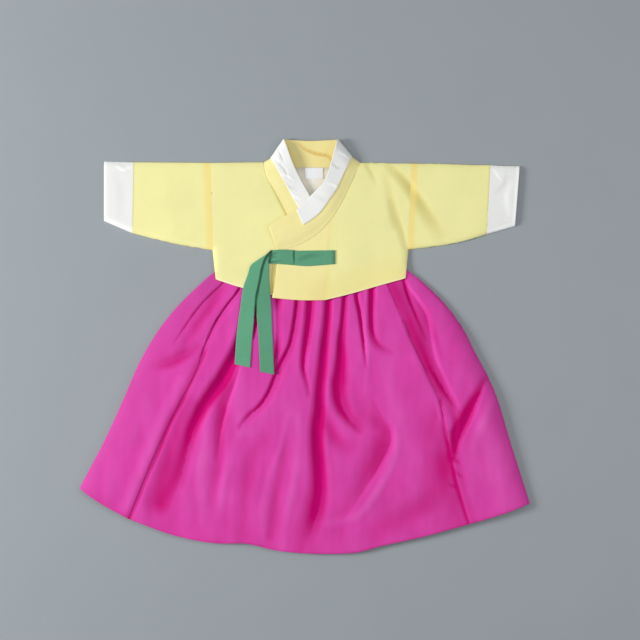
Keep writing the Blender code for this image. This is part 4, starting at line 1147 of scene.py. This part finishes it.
def collar_arms():
    """The undersides of the collar's two arms."""
    left = patch(straight(LEFT_ARM_LOW, LEFT_ARM_HIGH), FOLD_LEFT, BAND_SEAM_LEFT, NECK_EDGE_LEFT)
    right = patch(straight(BAND_TIP, EDGE_TOP), FOLD_RIGHT, NECK_EDGE_RIGHT, BAND_SEAM_RIGHT)
    left_height = arm_height(jacket_height, lambda u: u, 0, PRESSED_LEFT)
    right_height = arm_height(outer_height, lambda u: 1 - u, CROSSING_LIFT, PRESSED_RIGHT)
    return lay(left, left_height), lay(right, right_height)


def collar():
    back = patch(
        straight(NECK_LEFT, *NECK_BACK, NECK_RIGHT), curve(COLLAR_LEFT, (9, 359), COLLAR_RIGHT),
        FOLD_LEFT, lambda t: FOLD_RIGHT(1 - t),
    )
    left, right = collar_arms()
    sew("collar_back", "git_back", lay(back, over(collar_back_height)), (60, 24), COLLAR,
        "collar_yellow", Cut(170, 50, 0.78), ["jeogori_back_left"], turns={"top": HEM_TURN},
        marks=creases(COLLAR_FOLDS, COLLAR_DEPTH, COLLAR_SHADE_TONE))
    sew("collar_left_arm", "git_left", left, (30, 80), COLLAR, "collar_yellow",
        Cut(52, 150, 0.85), ["jeogori_front_inner"],
        turns={"left": SEAM_TURN, "right": HEM_TURN}, spread=(even, at_end), grain=28)
    sew("collar_right_arm", "git_right", right, (30, 130), COLLAR, "collar_yellow",
        Cut(52, 235, 0.9), ["jeogori_front_outer"],
        turns={"left": HEM_TURN, "right": PRESSED, "low": HEM_TURN}, grain=-35)


def left_share(v):
    """The part of the left arm's width that its white strip covers."""
    return np.interp(v, (0, 0.56, 0.84, 1), (0.465, 0.45, 0.4, 0.27)), np.ones(len(v))


def right_share(v):
    """The part of the right arm's width that its white strip covers."""
    outer = np.interp(v, (0.28, 0.45, 0.6, 0.75, 1), (0.5, 0.575, 0.525, 0.61, 0.667))
    return np.zeros(len(v)), outer


def white_strips():
    left, right = collar_arms()
    rows = (
        ("left", creased(strip_on(left, left_share, 0), WHITE_FOLDS), (24, 110),
         Cut(26, 132, 0.9), ("left", "right"), (even, at_end), 28),
        ("right", creased(strip_on(right, right_share, WHITE_START), WHITE_FOLDS), (24, 140),
         Cut(28, 172, 0.9), ("left", "right", "low"), (even, even), -35),
        ("back", lay(panel(BACK_STRIP_LOW, BACK_STRIP_TOP),
                     over(collar_back_height, -TRIM_CLOTH - SEAM_GAP)), (50, 12),
         Cut(114, 24, 0.88), (), (even, even), 0),
    )
    for side, surface, cells, cut, turned, spread, grain in rows:
        sew(f"white_strip_{side}", f"dongjeong_{side}", surface, cells, STRIP, "white_collar",
            cut, [f"git_{side}"], turns=dict.fromkeys(turned, HEM_TURN), spread=spread,
            grain=grain, marks=creases(WHITE_FOLDS, WHITE_DEPTH, WHITE_HIGHLIGHT_TONE))


def neck_inside():
    lining = lay(panel(LINING_LOW, LINING_TOP), flat(JACKET_SEAM))
    sew("lining_in_neck", "neck_lining", lining, (50, 40), LINING, "lining_beige",
        Cut(110, 59, 0.86), ["jeogori_back_left"], marks=lining_marks)
    label = lay(panel(LABEL_LOW, LABEL_TOP), flat(JACKET_SEAM + TRIM_CLOTH + SEAM_GAP))
    sew("blank_label", "neck_label", label, (24, 16), LABEL, "label_white", Cut(31, 19, 1),
        ["neck_lining"])


# Ribbon tie

def tail_height(xy, u, v):
    """The ribbon's ends lie on the jacket, then on the skirt."""
    return level(TAIL_LEVELS, xy[:, 1])


def front_tail_height(xy, u, v):
    """The front end rides over the back one at their top."""
    lift = FRONT_TAIL_LIFT * ramp(xy[:, 1], *FRONT_TAIL_Y)
    return tail_height(xy, u, v) + lift


def knot_height(xy, u, v):
    """The knot rounds down at its left end, where the tails leave it."""
    across = np.interp(xy[:, 0], KNOT_X, KNOT_HEIGHTS)
    return across - KNOT_FOLD_SHARE * relief(xy, RIBBON_FOLDS)[0]


def ribbon():
    band = patch(
        curve(BAND_LOW[0], (0, 140.5), (22, 141.5), BAND_LOW[1]), straight(*BAND_TOP),
        straight(BAND_LOW[0], BAND_TOP[0]), straight(BAND_LOW[1], BAND_TOP[1]),
    )
    knot = patch(
        curve(*KNOT_LOW), curve(*KNOT_TOP), straight(KNOT_LOW[0], KNOT_TOP[0]),
        straight(KNOT_LOW[-1], KNOT_TOP[-1]),
    )
    front = patch(
        straight(*FRONT_TAIL_END), straight((-60, 164.5), (-59, 165)),
        curve(FRONT_TAIL_END[0], (-80, 18), (-83, 84), (-77.5, 115), (-72, 142), (-66.5, 156),
              (-60, 164.5)),
        curve(FRONT_TAIL_END[1], (-56, 18), (-59, 81), (-61, 101), (-62.5, 135), (-62.5, 150),
              (-59, 165)),
    )
    back = patch(
        straight(*BACK_TAIL_END), straight((-58, 168.2), (-57, 168.3)),
        curve(BACK_TAIL_END[0], (-118, 18), (-111, 73), (-107, 101), (-99, 125), (-93, 142),
              (-82, 150.5), (-67, 160.5), (-58, 168.2)),
        curve(BACK_TAIL_END[1], (-91, 18), (-83, 84), (-76.5, 115), (-71, 142), (-65.5, 156),
              (-57, 168.3)),
    )
    # Each row ends with how much more painted shade the piece gets than the ribbon's back end
    rows = (
        ("band", lay(band, over(outer_height, JACKET_SEAM + SEAM_GAP)), (50, 18),
         Cut(71, 26, 1), "jeogori_seop_outer", 0.08),
        ("knot", lay(knot, knot_height), (36, 20), Cut(42, 26, 0.95), "goreum_band", 0.1),
        ("tail_front", lay(front, front_tail_height), (16, 130), Cut(26, 214, 0.88),
         "chima_front_centre", 0.12),
        ("tail_back", lay(back, tail_height), (18, 130), Cut(28, 200, 0.88),
         "chima_front_centre", 0),
    )
    for part, surface, cells, cut, under, shade in rows:
        sew(f"ribbon_{part}", f"goreum_{part}", surface, cells, RIBBON, "green_cloth", cut,
            [under], turns=dict.fromkeys(("left", "right", "low"), HEM_TURN),
            marks=ribbon_marks(shade))


# Stage

VIEW_X, VIEW_Y, VIEW_WIDTH, VIEW_HEIGHT, SENSOR_WIDTH = 26.7, 46.4, 1120, 2200, 36
# Name, place, size and watts
LIGHTS = (
    ("left_softbox", (-3000, 100, 1420), 900, 106),
    ("right_softbox", (1700, -100, 1300), 900, 8),
    ("overhead_light", (0, 350, 2400), 2400, 21),
)
SKY_COLOUR, SKY_STRENGTH = (0.9, 0.95, 1, 1), 0.23


def stage():
    bpy.ops.object.select_all(action="DESELECT")
    bpy.ops.mesh.primitive_grid_add(x_subdivisions=8, y_subdivisions=8, size=6)
    floor = bpy.context.object
    floor.name = "floor"
    floor.data.materials.append(paper_sweep(settings()[1]))

    scene = bpy.context.scene
    camera = bpy.data.cameras.new("camera")
    camera.sensor_width = SENSOR_WIDTH
    camera.lens = SENSOR_WIDTH * VIEW_HEIGHT / VIEW_WIDTH
    viewer = bpy.data.objects.new("camera", camera)
    viewer.location = Vector((VIEW_X, VIEW_Y, VIEW_HEIGHT)) * MM
    scene.collection.objects.link(viewer)
    scene.camera = viewer
    for name, place, size, power in LIGHTS:
        lamp = bpy.data.lights.new(name, "AREA")
        lamp.size = size * MM
        lamp.energy = power
        held = bpy.data.objects.new(name, lamp)
        held.location = Vector(place) * MM
        held.rotation_euler = (-held.location).to_track_quat("-Z", "Y").to_euler()
        scene.collection.objects.link(held)
    scene.world = bpy.data.worlds.new("studio")
    scene.world.use_nodes = True
    sky = scene.world.node_tree.nodes["Background"]
    sky.inputs["Color"].default_value = SKY_COLOUR
    sky.inputs["Strength"].default_value = SKY_STRENGTH
    scene.view_settings.view_transform = "Standard"


# Add-on

def length(name, description, default):
    return bpy.props.FloatProperty(
        name=name, description=description, default=default * MM, subtype="DISTANCE", unit="LENGTH"
    )


def colour(name, description, code):
    return bpy.props.FloatVectorProperty(
        name=name, description=description, default=srgb_to_linear(code), size=4, subtype="COLOR",
        min=0, max=1,
    )


class HanbokSizes(bpy.types.PropertyGroup):
    jacket_cloth: length("Jacket cloth", "Thickness of the jacket's cloth with its lining", 1.1)
    skirt_cloth: length("Skirt cloth", "Thickness of the skirt's cloth with its lining", 0.8)
    trim_cloth: length("Trim cloth", "Thickness of the white strips, ribbon and lining", 0.8)
    waistband: length("Waistband", "Thickness of the doubled waistband", WAISTBAND_CLOTH)
    label_tape: length("Label", "Thickness of the label's tape", 0.6)


class HanbokColours(bpy.types.PropertyGroup):
    # Painted highlight: the skirt's ridges are drawn in this paler magenta
    skirt_raised: colour("Skirt ridges", "Magenta where the skirt is raised", "E05AB4")
    skirt: colour("Skirt", "Magenta of the skirt", "DA46A6")
    # Painted shade: the skirt's folds, edges and hem are drawn in this crimson
    skirt_deep: colour("Skirt folds", "Crimson deep in the skirt's folds", "C4006E")
    # Painted shade: the skirt's rolled left side is drawn in this duller magenta
    skirt_side: colour("Skirt side", "Duller magenta where the left side rolls over", "C24497")
    # Painted highlight: the jacket's turned hem is drawn in this paler yellow
    jacket_edge: colour("Jacket edges", "Yellow where the cloth turns over an edge", "FAF5BE")
    jacket: colour("Jacket", "Yellow of the jacket", "F0EAA2")
    # Painted shade: the jacket's creases and the shade beside its seams are drawn in this yellow
    jacket_deep: colour("Jacket folds", "Yellow in the jacket's creases", "C9B75E")
    jacket_warm: colour("Jacket seams", "Yellow over the jacket's seam turnings", "F6DE80")
    collar: colour("Collar", "Warmer yellow of the collar band", "F4E8A0")
    # Painted shade of the collar's back and creases, and the colour over the overlap panel's
    # turnings
    collar_deep: colour("Collar shade", "Yellow in the collar's creases", "DDB85C")
    # Painted highlight: the white satin's edges and glints are drawn in this brighter white
    white_edge: colour("White edges", "White where the satin is stretched over an edge", "FAFAF8")
    white: colour("White", "Cuffs and collar strips", "EAEAE6")
    # Painted shade: the white cloth's creases are drawn in this grey
    white_deep: colour("White shade", "White in the creases", "CFCEC8")
    ribbon: colour("Ribbon", "Green of the ribbon tie", "5CA27D")
    # Painted shade: the ribbon's gathers, the parting of its tails and its darker pieces are drawn
    # in this green
    ribbon_deep: colour("Ribbon shade", "Green in the ribbon's creases", "1F5038")
    lining: colour("Lining", "Lining that shows in the neck", "F2EBDB")
    # Painted shade: the lining's top, inside the neck, is drawn in this greyer beige
    lining_deep: colour("Lining shade", "Lining in the creases", "C6BBA8")
    label: colour("Label", "Blank label", "EDEDEF")
    floor: colour("Surface", "Paper that the garment lies on", "999FA3")


def settings():
    """The sizes and colours that the panel shows."""
    scene = bpy.context.scene
    return scene.hanbok_sizes, scene.hanbok_colours


class HANBOK_OT_stage(bpy.types.Operator):
    """Add the paper, lights and camera"""
    bl_idname = "hanbok.stage"
    bl_label = "Stage"

    def execute(self, context):
        stage()
        return {"FINISHED"}


class HANBOK_OT_skirt_back(bpy.types.Operator):
    """Add the skirt's back, flat on the surface"""
    bl_idname = "hanbok.skirt_back"
    bl_label = "Skirt back"

    def execute(self, context):
        skirt_back()
        return {"FINISHED"}


class HANBOK_OT_skirt_front(bpy.types.Operator):
    """Add the skirt's three front panels with their pleats and folds"""
    bl_idname = "hanbok.skirt_front"
    bl_label = "Skirt front"

    def execute(self, context):
        skirt_front()
        return {"FINISHED"}


class HANBOK_OT_waistband(bpy.types.Operator):
    """Add the skirt's waistband, hidden under the jacket"""
    bl_idname = "hanbok.waistband"
    bl_label = "Waistband"

    def execute(self, context):
        waistband()
        return {"FINISHED"}


class HANBOK_OT_jacket_back(bpy.types.Operator):
    """Add the two halves of the jacket's back"""
    bl_idname = "hanbok.jacket_back"
    bl_label = "Jacket back"

    def execute(self, context):
        jacket_back()
        return {"FINISHED"}


class HANBOK_OT_jacket_fronts(bpy.types.Operator):
    """Add the inner and outer fronts and the overlap panel"""
    bl_idname = "hanbok.jacket_fronts"
    bl_label = "Jacket fronts"

    def execute(self, context):
        jacket_fronts()
        return {"FINISHED"}


class HANBOK_OT_sleeves(bpy.types.Operator):
    """Add both layers of the two sleeves"""
    bl_idname = "hanbok.sleeves"
    bl_label = "Sleeves"

    def execute(self, context):
        sleeves()
        return {"FINISHED"}


class HANBOK_OT_cuffs(bpy.types.Operator):
    """Add both layers of the two white cuffs"""
    bl_idname = "hanbok.cuffs"
    bl_label = "Cuffs"

    def execute(self, context):
        cuffs()
        return {"FINISHED"}


class HANBOK_OT_collar(bpy.types.Operator):
    """Add the collar band's back and its two arms"""
    bl_idname = "hanbok.collar"
    bl_label = "Collar band"

    def execute(self, context):
        collar()
        return {"FINISHED"}


class HANBOK_OT_white_strips(bpy.types.Operator):
    """Add the white strips sewn on the collar band"""
    bl_idname = "hanbok.white_strips"
    bl_label = "White collar strips"

    def execute(self, context):
        white_strips()
        return {"FINISHED"}


class HANBOK_OT_neck_inside(bpy.types.Operator):
    """Add the lining that shows in the neck, and its blank label"""
    bl_idname = "hanbok.neck_inside"
    bl_label = "Inside the neck"

    def execute(self, context):
        neck_inside()
        return {"FINISHED"}


class HANBOK_OT_ribbon(bpy.types.Operator):
    """Add the ribbon tie: its band, knot and two tails"""
    bl_idname = "hanbok.ribbon"
    bl_label = "Ribbon tie"

    def execute(self, context):
        ribbon()
        return {"FINISHED"}


OPERATORS = (
    HANBOK_OT_stage, HANBOK_OT_skirt_back, HANBOK_OT_skirt_front, HANBOK_OT_waistband,
    HANBOK_OT_jacket_back, HANBOK_OT_jacket_fronts, HANBOK_OT_sleeves, HANBOK_OT_cuffs,
    HANBOK_OT_collar, HANBOK_OT_white_strips, HANBOK_OT_neck_inside, HANBOK_OT_ribbon,
)


class HANBOK_PT_pieces(bpy.types.Panel):
    """The hanbok's pieces, sizes and colours"""
    bl_idname = "HANBOK_PT_pieces"
    bl_label = "Hanbok"
    bl_space_type = "VIEW_3D"
    bl_region_type = "UI"
    bl_category = "Hanbok"

    def draw(self, context):
        column = self.layout.column()
        for group in settings():
            for name in group.__annotations__:
                column.prop(group, name)
        for operator in OPERATORS:
            column.operator(operator.bl_idname)


CLASSES = (HanbokSizes, HanbokColours, *OPERATORS, HANBOK_PT_pieces)


def register():
    for item in CLASSES:
        bpy.utils.register_class(item)
    bpy.types.Scene.hanbok_sizes = bpy.props.PointerProperty(type=HanbokSizes)
    bpy.types.Scene.hanbok_colours = bpy.props.PointerProperty(type=HanbokColours)


def unregister():
    del bpy.types.Scene.hanbok_colours
    del bpy.types.Scene.hanbok_sizes
    for item in reversed(CLASSES):
        bpy.utils.unregister_class(item)


def main():
    register()
    for operator in OPERATORS:
        group, name = operator.bl_idname.split(".")
        getattr(getattr(bpy.ops, group), name)()


if __name__ == "__main__":
    main()
